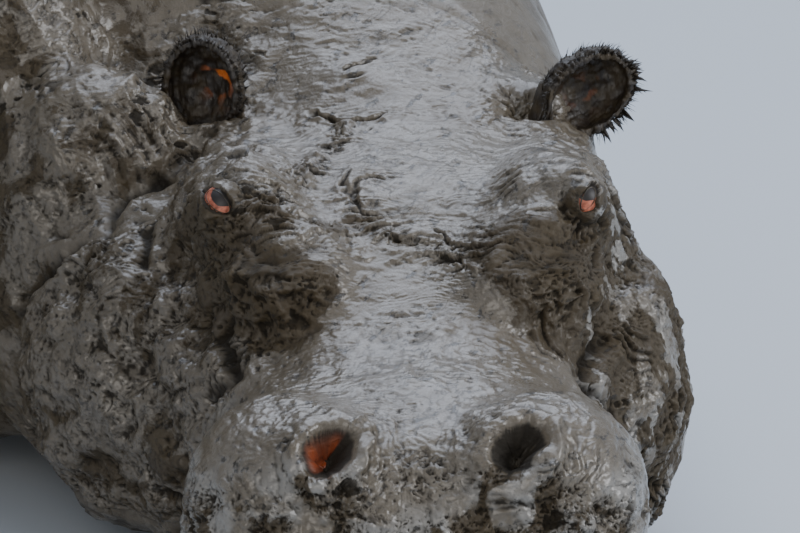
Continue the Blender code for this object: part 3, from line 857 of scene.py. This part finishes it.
def lid_material(colours):
    """Dark wet lid with red patches."""
    shader = Shader("dark_lid")
    patchy = shader.noise(140.0, 5.0)
    colour = shader.mix(shader.span(patchy, 0.40, 0.62), colours.dark_mud, colours.gap)
    red = shader.span(shader.noise(90.0, 4.0), 0.56, 0.64, 0.0, 0.6)
    colour = shader.mix(red, colour, colours.lid)
    shader.set(Base_Color=colour, Roughness=0.35, Normal=shader.bump((patchy, 0.3, 0.0008)),
               Coat_Weight=0.4, Coat_Roughness=0.15)
    return shader.material


def ear_material(colours):
    """Matted hair over brown hide with mud on it and bare orange patches inside."""
    shader = Shader("matted_ear")
    strand = shader.noise(260.0, 4.0, 0.6, shader.stretch((1.0, 1.0, 0.25)))
    patch = shader.noise(55.0, 5.0)
    colour = shader.mix(shader.span(patch, 0.45, 0.66), colours.ear_hair, colours.hide)
    colour = shader.mix(shader.span(strand, 0.58, 0.80, 0.0, 0.55), colour, colours.mud)
    colour = shader.mix(shader.attribute("film"), colour, colours.mud)
    colour = shader.mix(shader.attribute("flesh"), colour, colours.ear_flesh)
    shader.set(Base_Color=colour, Roughness=shader.span(patch, 0.3, 0.7, 0.4, 0.65),
               Normal=shader.bump((strand, 0.7, 0.003)), Coat_Weight=0.15, Coat_Roughness=0.25)
    return shader.material


def hair_material(colours):
    """Wet dark hair."""
    shader = Shader("wet_hair")
    colour = shader.mix(shader.noise(60.0, 3.0), colours.ear_hair, colours.gap)
    shader.set(Base_Color=colour, Roughness=0.4, Coat_Weight=0.3, Coat_Roughness=0.2)
    return shader.material


def nail_material(colours):
    """Dull horn smeared with mud."""
    shader = Shader("muddy_horn")
    grain = shader.noise(120.0, 4.0, 0.6, shader.stretch((1.0, 1.0, 0.2)))
    colour = shader.mix(shader.span(grain, 0.35, 0.7), colours.horn, colours.dark_mud)
    colour = shader.mix(shader.span(shader.noise(22.0, 4.0), 0.45, 0.6), colour, colours.mud)
    shader.set(Base_Color=colour, Roughness=shader.span(grain, 0.3, 0.7, 0.35, 0.55),
               Normal=shader.bump((grain, 0.35, 0.001)))
    return shader.material


def floor_material():
    """Plain pale floor."""
    shader = Shader("pale_floor")
    shade = shader.mix(shader.noise(0.6, 2.0), (0.52, 0.56, 0.60, 1), (0.56, 0.60, 0.64, 1))
    shader.set(Base_Color=shade, Roughness=0.55)
    return shader.material


# Pieces

EYE_COVER = 0.0048  # how thick the mud lies over an eyeball
EYE_ROOM = 0.006  # how far the mud stays under an eyeball's surface in its opening


def clear_of_eyes(points, normals, height):
    """Heights that leave the eyes' openings free and cover the rest of the eyeballs."""
    for side in LOOK:
        centre = np.array(EYES[side])
        close = np.linalg.norm(points - centre, axis=1) < EYE_SIZE * 2.2
        spots, ways = points[close], normals[close]
        moved = spots + ways * height[close, None]
        gap = np.linalg.norm(moved - centre, axis=1)
        reach = eye_reach(to_head(moved), side)
        facing = np.maximum(np.sum((moved - centre) * ways, axis=1) / gap, 0.35)
        opened = fade(reach, 1.12, 0.92)
        want = opened * np.minimum(gap, EYE_SIZE - EYE_ROOM)
        cover = EYE_SIZE + EYE_COVER + 0.0015 * noise(spots, 0.007, 24)
        want += (1 - opened) * np.maximum(gap, cover)
        height[close] += (want - gap) / facing
    return height


def skin_of(body, points, normals, edges, lowest):
    """Lowers the fused body into the hide, under the mud's lowest places, and marks it."""
    height, marks = relief(points, normals)
    cover = fade(mud_cover(points, normals[:, 2]), 0.25, 0.55)
    under = np.minimum(lowest, height) - SUNK
    height = height + cover * (under - height)
    place(body.data, raised(points, normals, height))
    # painted shade in the hide's pits, from how far each place lies under its neighbours
    level = spread(height, edges, 6)
    marks["pit_shade"] = np.clip((level - height) / HIDE_PIT_SHADE, 0, 1)
    for name, values in marks.items():
        mark(body.data, name, values)


MUD_SIDES = ("muzzle", "cheek", "jowl", "neck", "throat")
MUD_NAMES = tuple(f"{part}_{side}" for part in MUD_SIDES for side in "rl") + ("forehead", "nape")
CHEEK_START, NECK_START = 0.27, 0.66  # how far back the mud's pieces meet
JOWL_TOP, THROAT_TOP = 0.27, 0.34  # how far up they meet
TOP_HALF = 0.135  # half the width of the forehead's and the nape's piece


def mud_area(head):
    """The number of the mud piece that each row of head places belongs to."""
    left, back, up = head.T
    behind = back > NECK_START
    area = np.where(behind, np.where(up < THROAT_TOP, 4, 3), np.where(up < JOWL_TOP, 2, 1))
    area = np.where(back < CHEEK_START, 0, area) * 2 + (left >= 0)
    on_top = (back >= CHEEK_START) & (np.abs(left) < TOP_HALF)
    return np.where(on_top, 2 * len(MUD_SIDES) + behind, area)


def unwrapped(head):
    """Flat places of rows of head places, seen from inside the head, in a square of side 1."""
    rays = head - np.array((0.0, head[:, 1].mean() * 0.5 + 0.2, 0.15))
    rays = rays / np.linalg.norm(rays, axis=1)[:, None]
    middle_ray = rays.mean(axis=0)
    middle_ray /= np.linalg.norm(middle_ray)
    one = np.cross(middle_ray, (0.0, 0.0, 1.0) if abs(middle_ray[2]) < 0.9 else (0.0, 1.0, 0.0))
    one /= np.linalg.norm(one)
    two = np.cross(middle_ray, one)
    angle = np.arccos(np.clip(rays @ middle_ray, -1, 1))
    around = np.arctan2(rays @ two, rays @ one)
    flat = np.stack((angle * np.cos(around), angle * np.sin(around)), axis=1)
    low, high = flat.min(axis=0), flat.max(axis=0)
    return 0.03 + 0.96 * (flat - low) / max((high - low).max(), 1e-6)


def shell(name, outer, inner, points, below, normals, marks):
    """Closed mud piece: fine outer faces, coarse inner faces under them and walls between."""
    corner = np.unique(outer)
    row = np.full(len(points), -1, np.int64)
    row[corner] = np.arange(len(corner))
    low = np.unique(inner)
    low_row = np.full(len(below), -1, np.int64)
    low_row[low] = len(corner) + np.arange(len(low))
    # borders of the fine faces, and the walk along each from one coarse vertex to the next
    one, two = outer.ravel(), np.roll(outer, -1, axis=1).ravel()
    key = one.astype(np.int64) * len(points) + two
    border = ~np.isin(key, two.astype(np.int64) * len(points) + one)
    onward = {}
    for start, end in zip(one[border].tolist(), two[border].tolist()):
        onward.setdefault(start, []).append(end)
    walls = []
    for start, ends in onward.items():
        if start >= len(below):
            continue
        for end in ends:
            chain = [start, end]
            while chain[-1] >= len(below):
                chain.append(onward[chain[-1]][0])
            wall = [int(row[vertex]) for vertex in reversed(chain)]
            walls.append(wall + [int(low_row[chain[0]]), int(low_row[chain[-1]])])
    faces = row[outer].tolist() + low_row[inner[:, ::-1]].tolist() + walls
    mesh = bpy.data.meshes.new(name)
    place_rows = np.concatenate((points[corner], below[low]))
    mesh.from_pydata(place_rows.tolist(), [], faces)
    flat = unwrapped(to_head(place_rows[:len(corner)]))
    map_flat(mesh, np.concatenate((flat, np.full((len(low), 2), 0.01))))
    for title, values in marks.items():
        mark(mesh, title, np.concatenate((values[corner], np.zeros(len(low)))))
    piece = new_object(name, mesh)
    inward = np.zeros((len(low), 3), np.float32)
    inward[:, 2] = -1
    mesh.normals_split_custom_set_from_vertices(np.concatenate((normals[corner], inward)).tolist())
    return piece


def mud_pieces(body, points, normals):
    """The thick mud over the head and neck, in closed pieces whose surfaces run on."""
    faces = read(body.data.polygons, "vertices", 4, np.int32)
    cover = mud_cover(points, normals[:, 2])
    chosen = faces[np.min(cover[faces], axis=1) > 0.0]
    used = np.unique(chosen)
    row = np.zeros(len(points), np.int64)
    row[used] = np.arange(len(used))
    coarse = row[chosen]
    patch = bpy.data.meshes.new("mud_patch")
    patch.from_pydata(points[used].tolist(), [], coarse.tolist())
    patch_object = new_object("mud_patch", patch)
    finer = patch_object.modifiers.new("finer", "SUBSURF")
    finer.levels = finer.render_levels = LEVELS
    bake(patch_object)
    mesh = patch_object.data
    fine, fine_normals, edges = surface(mesh)
    height, marks = relief(fine, fine_normals)
    height -= MUD_EDGE * fade(mud_cover(fine, fine_normals[:, 2]), 0.42, 0.0)
    height = clear_of_eyes(fine, fine_normals, height)
    moved = raised(fine, fine_normals, height)
    place(mesh, moved)
    moved_normals = read(mesh.vertex_normals, "vector")
    # painted shade in the mud's small and broad pits, from how far each place lies under its
    # neighbours
    close = spread(height, edges, PIT_SHADE_ROUNDS[0])
    wide = spread(close, edges, PIT_SHADE_ROUNDS[1])
    narrow, broad = PIT_SHADE_DEPTHS
    pit_shade = (close - height) / narrow * 0.6 + (wide - close) / broad * 0.6
    marks["pit_shade"] = np.clip(pit_shade, 0, 1)
    # the hide and the mud's inner faces lie under the lowest place round each coarse vertex
    outer = read(mesh.loops, "vertex_index", 1, np.int32).reshape(-1, 4)
    lowest = np.full(len(points), np.inf)
    face_low = height[outer].min(axis=1).reshape(len(coarse), -1).min(axis=1)
    for corner in range(4):
        np.minimum.at(lowest, chosen[:, corner], face_low)
    below = raised(points[used], normals[used], lowest[used] - SUNK - LINING, CLEAR / 2)
    coarse_owner = mud_area(to_head(points[used][coarse].mean(axis=1)))
    owner = np.repeat(coarse_owner, 4 ** LEVELS)
    pieces = [
        shell("mud_" + name, outer[owner == number], coarse[coarse_owner == number],
              moved, below, moved_normals, marks)
        for number, name in enumerate(MUD_NAMES)
    ]
    bpy.data.objects.remove(patch_object)
    return pieces, lowest


def eyeball(side):
    """One eyeball, its iris marked."""
    shape = bmesh.new()
    bmesh.ops.create_uvsphere(shape, u_segments=48, v_segments=32, radius=EYE_SIZE)
    shape.transform(Matrix.Translation(EYES[side]))
    piece = new_object("eyeball_" + SIDES[side], shape)
    points = read(piece.data.vertices, "co")
    look = eye_axes(side)[3] + np.array(GAZE[side])
    look = look / np.linalg.norm(look) @ HEAD_AXES
    away = (points - np.array(EYES[side])) / EYE_SIZE
    mark(piece.data, "iris", fade(np.linalg.norm(away - look, axis=1), 0.68, 0.62))
    return piece


LID_RADIUS = 0.0007


def lid(side):
    """The bare rim of flesh round one eye's opening, lying on the eyeball."""
    front, long_way, short_way, look = eye_axes(side)
    halves = EYE_HALVES[side]
    shape = bmesh.new()
    bmesh.ops.create_circle(shape, cap_ends=False, segments=8, radius=LID_RADIUS)
    shape.transform(Matrix.Translation((1, 0, 0)) @ Matrix.Rotation(pi / 2, 4, "X"))
    bmesh.ops.spin(shape, geom=shape.edges[:] + shape.verts[:], axis=(0, 0, 1), cent=(0, 0, 0),
                   angle=2 * pi, steps=48, use_merge=True)
    bmesh.ops.remove_doubles(shape, verts=shape.verts, dist=CLOSE)
    for vertex in shape.verts:
        out = Vector((vertex.co.x, vertex.co.y))
        tube = out.length - 1
        out.normalize()
        x, y = out.x * (halves[0] + tube), out.y * (halves[1] + tube)
        vertex.co = Vector((x, y, vertex.co.z + (EYE_SIZE ** 2 - x * x - y * y) ** 0.5))
    bmesh.ops.recalc_face_normals(shape, faces=shape.faces)
    axes = Matrix([Vector(way @ HEAD_AXES) for way in (long_way, short_way, look)]).transposed()
    shape.transform(Matrix.Translation(EYES[side]) @ axes.to_4x4())
    return new_object("lid_" + SIDES[side], shape)


EAR_PLACES = {1: (0.216, 0.745, 0.475), -1: (-0.203, 0.745, 0.489)}
EAR_TURNS = {1: (radians(20), radians(62)), -1: (radians(-20), 0.0)}  # outward, tip down
EAR_RIM = (0.0443, 0.0547, 0.012)  # half its width, half its height, how far ahead it opens
EAR_SHELL = (0.046, 0.035, 0.057)  # halves of the ear's back
EAR_GRAIN = 0.0020
EAR_BASE_SINK = 0.050  # how far the left ear's base reaches down into the mud
EAR_RAGGED = {1: 1.6, -1: 0.8}
EAR_FLESH = {1: 0.25, -1: 1.6}


def ear_axes(side):
    """Rows of an ear's own axes, in world directions: across, back, towards its tip."""
    yaw, droop = EAR_TURNS[side]
    turn = Matrix.Rotation(yaw, 3, "Z") @ Matrix.Rotation(droop, 3, "Y")
    return np.array(turn.transposed()) @ HEAD_AXES


def ear(side):
    """One ear: its solid made fine, matted and ragged."""
    name = "ear_" + SIDES[side]
    shape = bmesh.new()
    shape.from_mesh(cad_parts[name].data)
    bmesh.ops.remove_doubles(shape, verts=shape.verts, dist=CLOSE)
    piece = new_object("matted_" + name, shape)
    remesh(piece, EAR_GRAIN)
    mesh = piece.data
    points, _, edges = surface(mesh)
    points = spread(points, edges, 6, 1.0, (0.5, -0.5))
    place(mesh, points)
    normals = read(mesh.vertex_normals, "vector")
    axes = ear_axes(side)
    own = (points - np.array(on_head(EAR_PLACES[side]))) @ axes.T
    rim = np.hypot(own[:, 0] / EAR_RIM[0], own[:, 2] / EAR_RIM[1])
    edge = fade(rim, 0.82, 1.0) * fade(own[:, 1], 0.004, -0.010)
    angle = np.arctan2(own[:, 2], own[:, 0])[:, None] * (1.0, 0.0, 0.0)
    ragged = noise(angle + own[:, 1:2] * (0, 40.0, 0), 0.16, 205) + 0.6 * noise(angle, 0.07, 206)
    height = 0.0030 * layered(own, 0.016, 3, 200 + side)
    height += 0.0018 * lumpy(own * (1, 1, 0.4), 0.009, 2, 210)
    height += edge * 0.0035 * ragged * EAR_RAGGED[side]
    moved = points + normals * height[:, None]
    moved += -axes[1] * edge[:, None] * 0.004 * ragged[:, None]
    if side > 0:
        moved[:, 2] -= fade(own[:, 2], -0.034, -0.060) * EAR_BASE_SINK
    place(mesh, moved)
    inside = fade(rim, 0.95, 0.80) * fade(-normals @ axes[1], 0.05, 0.3)
    patch = fade(noise(own, 0.014, 220 + side), 0.10, 0.22)
    spot = near(own, (0.010, 0.020, 0.004), (0.014, 0.05, 0.018))
    mark(mesh, "flesh", inside * patch * spot * EAR_FLESH[side])
    outside = fade(own[:, 1], 0.004, 0.020) * fade(rim, 0.6, 0.9)
    film = outside * fade(noise(own, 0.022, 230), -0.2, 0.2)
    mark(mesh, "film", np.clip(film, 0, 1) * 0.8)
    return piece


def tufts(name, roots, ways, lengths, widths, bends, flat):
    """Joined tufts of hair: each a thin bent spike on its root, its bake patch where flat says."""
    count = len(roots)
    ways = ways / np.linalg.norm(ways, axis=1)[:, None]
    side = np.cross(ways, ways[:, (1, 2, 0)] + (0.3, 0.1, 0.2))
    side /= np.linalg.norm(side, axis=1)[:, None]
    other = np.cross(ways, side)
    waist = roots + ways * (lengths * 0.55)[:, None] + bends * 0.3
    points = np.zeros((count, 7, 3))
    for k in range(3):
        out = side * cos(2 * pi * k / 3) + other * sin(2 * pi * k / 3)
        points[:, k] = roots + out * widths[:, None]
        points[:, 3 + k] = waist + out * (widths * 0.6)[:, None]
    points[:, 6] = roots + ways * lengths[:, None] + bends
    one = [(2, 1, 0)] + [(k, (k + 1) % 3, 3 + (k + 1) % 3, 3 + k) for k in range(3)]
    one += [(3 + k, 3 + (k + 1) % 3, 6) for k in range(3)]
    faces = [tuple(7 * tuft + corner for corner in face) for tuft in range(count) for face in one]
    mesh = bpy.data.meshes.new(name)
    mesh.from_pydata(points.reshape(-1, 3).tolist(), [], faces)
    spots = np.array([(0, 0), (1, 0), (0, 1), (0.3, 0.3), (0.7, 0.3), (0.3, 0.7), (0.5, 0.5)])
    map_flat(mesh, (0.01 + 0.97 * flat[:, None, :] + spots[None] * 0.003).reshape(-1, 2))
    return new_object(name, mesh)


def ear_hair(side):
    """Hair round an ear's rim and over its back, matted into points on the left ear."""
    rng = np.random.default_rng(40 + side)
    axes = ear_axes(side)
    centre = np.array(on_head(EAR_PLACES[side]))
    matted = 34 if side > 0 else 0
    fringe, back = 260, 420
    angle = rng.uniform(-pi, pi, matted + fringe)
    if matted:
        angle[:matted] = rng.uniform(radians(-60), radians(150), matted)
    across, tip = np.cos(angle), np.sin(angle)
    ahead = np.full(len(angle), -EAR_RIM[2] + 0.001)
    own = np.stack((across * EAR_RIM[0], ahead, tip * EAR_RIM[1]), axis=1) * 0.97
    way = np.stack((across, rng.uniform(-0.7, 0.1, len(angle)), tip), axis=1)
    way += rng.normal(0, 0.22, way.shape)
    length = rng.uniform(0.005, 0.015, len(angle))
    width = rng.uniform(0.0003, 0.0006, len(angle))
    length[:matted] = rng.uniform(0.010, 0.019, matted)
    width[:matted] = rng.uniform(0.0018, 0.0034, matted)
    # the back, where hair lies towards the tip
    turn = rng.uniform(-pi, pi, back)
    depth = rng.uniform(-0.1, 1.0, back)
    ball = np.sqrt(1 - depth * depth * 0.98)
    behind = np.stack((np.cos(turn) * ball, depth, np.sin(turn) * ball), axis=1) * EAR_SHELL
    lie = np.stack((np.cos(turn) * 0.4, np.full(back, 0.30), np.full(back, 0.9)), axis=1)
    lie += behind / 0.05 * 0.35 + rng.normal(0, 0.15, lie.shape)
    own = np.concatenate((own, behind))
    way = np.concatenate((way, lie))
    length = np.concatenate((length, rng.uniform(0.006, 0.013, back)))
    width = np.concatenate((width, rng.uniform(0.0004, 0.0009, back)))
    bends = (rng.normal(0, 0.15, way.shape) - (0, 0, 0.15)) * length[:, None]
    around = np.arctan2(own[:, 2], own[:, 0]) / (2 * pi) + 0.5
    flat = np.clip(np.stack((around, own[:, 1] / 0.1 + 0.4), axis=1), 0, 1)
    name = "hair_ear_" + SIDES[side]
    return tufts(name, centre + own @ axes, way @ axes, length, width, bends, flat)


def tail_hair():
    """Short stiff bristles down the edges of the tail's end."""
    low, high = (np.array(corner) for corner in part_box("tail"))
    rng = np.random.default_rng(9)
    count = 90
    side = np.where(np.arange(count) % 2, 1.0, -1.0)
    down = rng.uniform(0, 1, count) ** 1.5
    none = np.zeros(count)
    out = side * 0.034 * (1 - 0.4 * (1 - down)) + (low[0] + high[0]) / 2
    roots = np.stack((out, none, low[2] + 0.012 + down * 0.14), axis=1)
    points = read(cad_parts["tail"].data.vertices, "co")
    for row in roots:
        gap = np.abs(points[:, 2] - row[2]) + 0.3 * np.abs(points[:, 0] - row[0])
        row[1] = points[gap.argsort()[:6], 1].mean()
    ways = np.stack((side, rng.normal(0, 0.25, count), -1.1 + rng.normal(0, 0.25, count)), axis=1)
    length = rng.uniform(0.015, 0.035, count)
    flat = np.stack((side * 0.2 + 0.5, down * 0.9), axis=1)
    bends = np.stack((none, none, -0.3 * length), axis=1)
    width = rng.uniform(0.0005, 0.0009, count)
    return tufts("hair_tail", roots, ways, length, width, bends, flat)


TOE_TURNS = (radians(-43.5), radians(-14.5), radians(14.5), radians(43.5))
FOOT_MIDDLE = 0.1365  # how far the toes' common centre lies behind the foot's front
NAIL_PLACE = Vector((0, -0.130, 0.030))  # of a nail that points straight ahead
NAIL_TILT = radians(-12)
NAIL_FLOOR = 0.0012


def toenails(foot):
    """The four blunt nails of one foot, joined."""
    low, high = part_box(foot)
    centre = Vector(((low.x + high.x) / 2, low.y + FOOT_MIDDLE, 0.0))
    shape = bmesh.new()
    for turn in TOE_TURNS:
        nail = bmesh.ops.create_uvsphere(shape, u_segments=28, v_segments=18, radius=1.0)["verts"]
        for vertex in nail:
            x, y, z = vertex.co
            vertex.co = (x * (0.023 - 0.005 * z), y * 0.017 - 0.006 * z, z * 0.021)
        bmesh.ops.transform(
            shape, verts=nail,
            matrix=Matrix.Translation(centre) @ Matrix.Rotation(turn, 4, "Z")
            @ Matrix.Translation(NAIL_PLACE) @ Matrix.Rotation(NAIL_TILT, 4, "X"),
        )
    for vertex in shape.verts:
        vertex.co.z = max(vertex.co.z, NAIL_FLOOR)
    bmesh.ops.recalc_face_normals(shape, faces=shape.faces)
    return new_object("toenails_" + foot, shape)


# Colours, view and operators

def colour_property(name, description, value):
    return FloatVectorProperty(name=name, description=description, default=(*value, 1.0), size=4,
                               min=0.0, max=1.0, subtype="COLOR")


class HippoColours(bpy.types.PropertyGroup):
    """Colours of the mud, hide, flesh, hair and horn, and the near-black painted as shade."""

    mud: colour_property("Mud", "Wet clay", (0.102, 0.081, 0.054))
    pale_mud: colour_property("Pale mud", "Clay that has begun to dry", (0.138, 0.116, 0.086))
    dark_mud: colour_property("Dark mud", "Thin wet clay", (0.054, 0.037, 0.015))
    dry_mud: colour_property("Dry mud", "The palest flakes, on the sides", (0.235, 0.225, 0.205))
    # painted shade in the mud's pits, torn spots, furrows and openings, and the darkest tone of
    # its flecks, the lids and the hair
    gap: colour_property("Gaps", "Deep gaps in the clay", (0.012, 0.008, 0.003))
    hide: colour_property("Hide", "Bare wet hide", (0.040, 0.026, 0.009))
    flesh: colour_property("Flesh", "Flesh in the nostrils", (0.46, 0.085, 0.014))
    deep_flesh: colour_property("Deep flesh", "Darker flesh", (0.18, 0.034, 0.010))
    lid: colour_property("Lid", "Rims of the eyes", (0.62, 0.20, 0.12))
    ear_hair: colour_property("Ear hair", "Matted hair of the ears", (0.020, 0.014, 0.009))
    ear_flesh: colour_property("Ear flesh", "Flesh inside the ears", (0.62, 0.15, 0.02))
    horn: colour_property("Horn", "Toenails", (0.13, 0.11, 0.085))


class HippoView(bpy.types.PropertyGroup):
    """The camera's place over the head."""

    turn: FloatProperty(name="Turn", description="Camera's turn from the head's front",
                        default=radians(-2.8), subtype="ANGLE")
    rise: FloatProperty(name="Rise", description="Camera's height over the head's front",
                        default=radians(18.0), subtype="ANGLE")
    distance: FloatProperty(name="Distance", description="Camera's distance", default=10.0,
                            min=1.0, unit="LENGTH")
    lens: FloatProperty(name="Lens", description="Focal length in millimetres", default=437.4,
                        min=1.0)


FLOOR_HALF = 60.0
FLOOR_DROP = 0.0005  # how far the floor lies under the feet
VIEW_SHIFT = (-0.0247, 0.256)  # how far right of and over the muzzle the camera looks
SKY = (0.73, 0.81, 0.93, 1)
SKY_STRENGTH = 0.48
LAMPS = (  # name, how far back, left and up from the head, size, power, colour
    ("top", (2.4, 0.4, 4.0), 4.6, 238.0, (0.76, 0.84, 1.0)),
    ("side", (-1.2, 4.0, 2.2), 2.2, 140.0, (0.96, 0.97, 1.0)),
    ("front", (-4.5, -1.5, 2.0), 3.0, 84.0, (1.0, 0.95, 0.89)),
)


def dress(piece, finish, slot, *nodes):
    """Gives a piece its material and body, and hides the nodes it stands for; the slot is not
    used.
    """
    piece.data.materials.clear()
    piece.data.materials.append(finish)
    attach(piece, "root")
    if nodes:
        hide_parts(*nodes)


class HIPPO_OT_hide(bpy.types.Operator):
    """Builds the hide and the thick mud over the head and neck"""

    bl_idname = "hippo.hide"
    bl_label = "Hide and mud"

    def execute(self, context):
        finish = mud_material(context.scene.hippo_colours)
        body = fused_body()
        points, normals, edges = surface(body.data)
        pieces, lowest = mud_pieces(body, points, normals)
        for piece in pieces:
            dress(piece, finish, "skin")
        skin_of(body, points, normals, edges, lowest)
        dress(body, finish, "skin", *FLESH)
        return {"FINISHED"}


class HIPPO_OT_eyes(bpy.types.Operator):
    """Builds the eyeballs and the bare rims round them"""

    bl_idname = "hippo.eyes"
    bl_label = "Eyes"

    def execute(self, context):
        colours = context.scene.hippo_colours
        wet, bare = eyeball_material(colours), lid_material(colours)
        for side, name in ((1, "eye_l"), (-1, "eye_r")):
            dress(eyeball(side), wet, "eye", name)
            dress(lid(side), bare, "skin")
        return {"FINISHED"}


class HIPPO_OT_ears(bpy.types.Operator):
    """Builds the ears, their hair and the tail's bristles"""

    bl_idname = "hippo.ears"
    bl_label = "Ears and hair"

    def execute(self, context):
        colours = context.scene.hippo_colours
        finish, hair = ear_material(colours), hair_material(colours)
        for side, name in ((1, "ear_l"), (-1, "ear_r")):
            dress(ear(side), finish, "ear", name)
            dress(ear_hair(side), hair, "ear")
        dress(tail_hair(), hair, "skin")
        return {"FINISHED"}


class HIPPO_OT_toenails(bpy.types.Operator):
    """Builds the toenails"""

    bl_idname = "hippo.toenails"
    bl_label = "Toenails"

    def execute(self, context):
        finish = nail_material(context.scene.hippo_colours)
        for foot in FEET:
            dress(toenails(foot), finish, "skin")
        return {"FINISHED"}


class HIPPO_OT_stage(bpy.types.Operator):
    """Builds the floor, the light and the camera"""

    bl_idname = "hippo.stage"
    bl_label = "Stage"

    def execute(self, context):
        scene = context.scene
        view = scene.hippo_view
        shape = bmesh.new()
        bmesh.ops.create_grid(shape, x_segments=2, y_segments=2, size=FLOOR_HALF)
        shape.transform(Matrix.Translation((0, 0, -FLOOR_DROP)))
        floor = new_object("floor", shape)
        floor.data.materials.append(floor_material())
        floor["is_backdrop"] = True
        toward = LEFT * sin(view.turn) - BACK * cos(view.turn)
        toward = toward * cos(view.rise) + UP * sin(view.rise)
        right = UP.cross(toward).normalized()
        over = toward.cross(right)
        target = MUZZLE + UP * 0.25 + right * VIEW_SHIFT[0] + over * VIEW_SHIFT[1]
        camera = bpy.data.objects.new("camera", bpy.data.cameras.new("camera"))
        scene.collection.objects.link(camera)
        axes = Matrix((right, over, toward)).transposed().to_4x4()
        camera.matrix_world = Matrix.Translation(target + toward * view.distance) @ axes
        camera.data.lens = view.lens
        camera.data.sensor_width = 36.0
        camera.data.clip_end = 200.0
        scene.camera = camera
        world = bpy.data.worlds.new("studio")
        world.use_nodes = True
        background = world.node_tree.nodes["Background"]
        background.inputs["Color"].default_value = SKY
        background.inputs["Strength"].default_value = SKY_STRENGTH
        scene.world = world
        aim = MUZZLE + UP * 0.3 + BACK * 0.4
        for name, (back, left, up), size, power, tint in LAMPS:
            gap = BACK * back + LEFT * left + UP * up
            lamp = bpy.data.objects.new(name, bpy.data.lights.new(name, "AREA"))
            lamp.data.size = size
            lamp.data.energy = power
            lamp.data.color = tint
            lamp.matrix_world = (Matrix.Translation(aim + gap)
                                 @ gap.to_track_quat("Z", "Y").to_matrix().to_4x4())
            scene.collection.objects.link(lamp)
        return {"FINISHED"}


class HIPPO_PT_panel(bpy.types.Panel):
    """Lists the hippopotamus's operators in the sidebar"""

    bl_idname = "HIPPO_PT_panel"
    bl_label = "Hippopotamus"
    bl_space_type = "VIEW_3D"
    bl_region_type = "UI"
    bl_category = "Hippopotamus"

    def draw(self, context):
        for operator in OPERATORS:
            self.layout.operator(operator.bl_idname)
        for group in (context.scene.hippo_colours, context.scene.hippo_view):
            for name in group.__annotations__:
                self.layout.prop(group, name)


OPERATORS = (HIPPO_OT_hide, HIPPO_OT_eyes, HIPPO_OT_ears, HIPPO_OT_toenails, HIPPO_OT_stage)
CLASSES = (HippoColours, HippoView, *OPERATORS, HIPPO_PT_panel)


def register():
    for cls in CLASSES:
        bpy.utils.register_class(cls)
    bpy.types.Scene.hippo_colours = bpy.props.PointerProperty(type=HippoColours)
    bpy.types.Scene.hippo_view = bpy.props.PointerProperty(type=HippoView)


def unregister():
    del bpy.types.Scene.hippo_view
    del bpy.types.Scene.hippo_colours
    for cls in reversed(CLASSES):
        bpy.utils.unregister_class(cls)


def main():
    """Builds every piece and works out the boxes before and after."""
    register()
    bpy.ops.hippo.hide()
    bpy.ops.hippo.eyes()
    bpy.ops.hippo.ears()
    bpy.ops.hippo.toenails()
    bpy.ops.hippo.stage()
    boxes = {"cad": CAD_BOX, "visual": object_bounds()}
    boxes = {name: [list(corner) for corner in box] for name, box in boxes.items()}


if __name__ == "__main__":
    main()
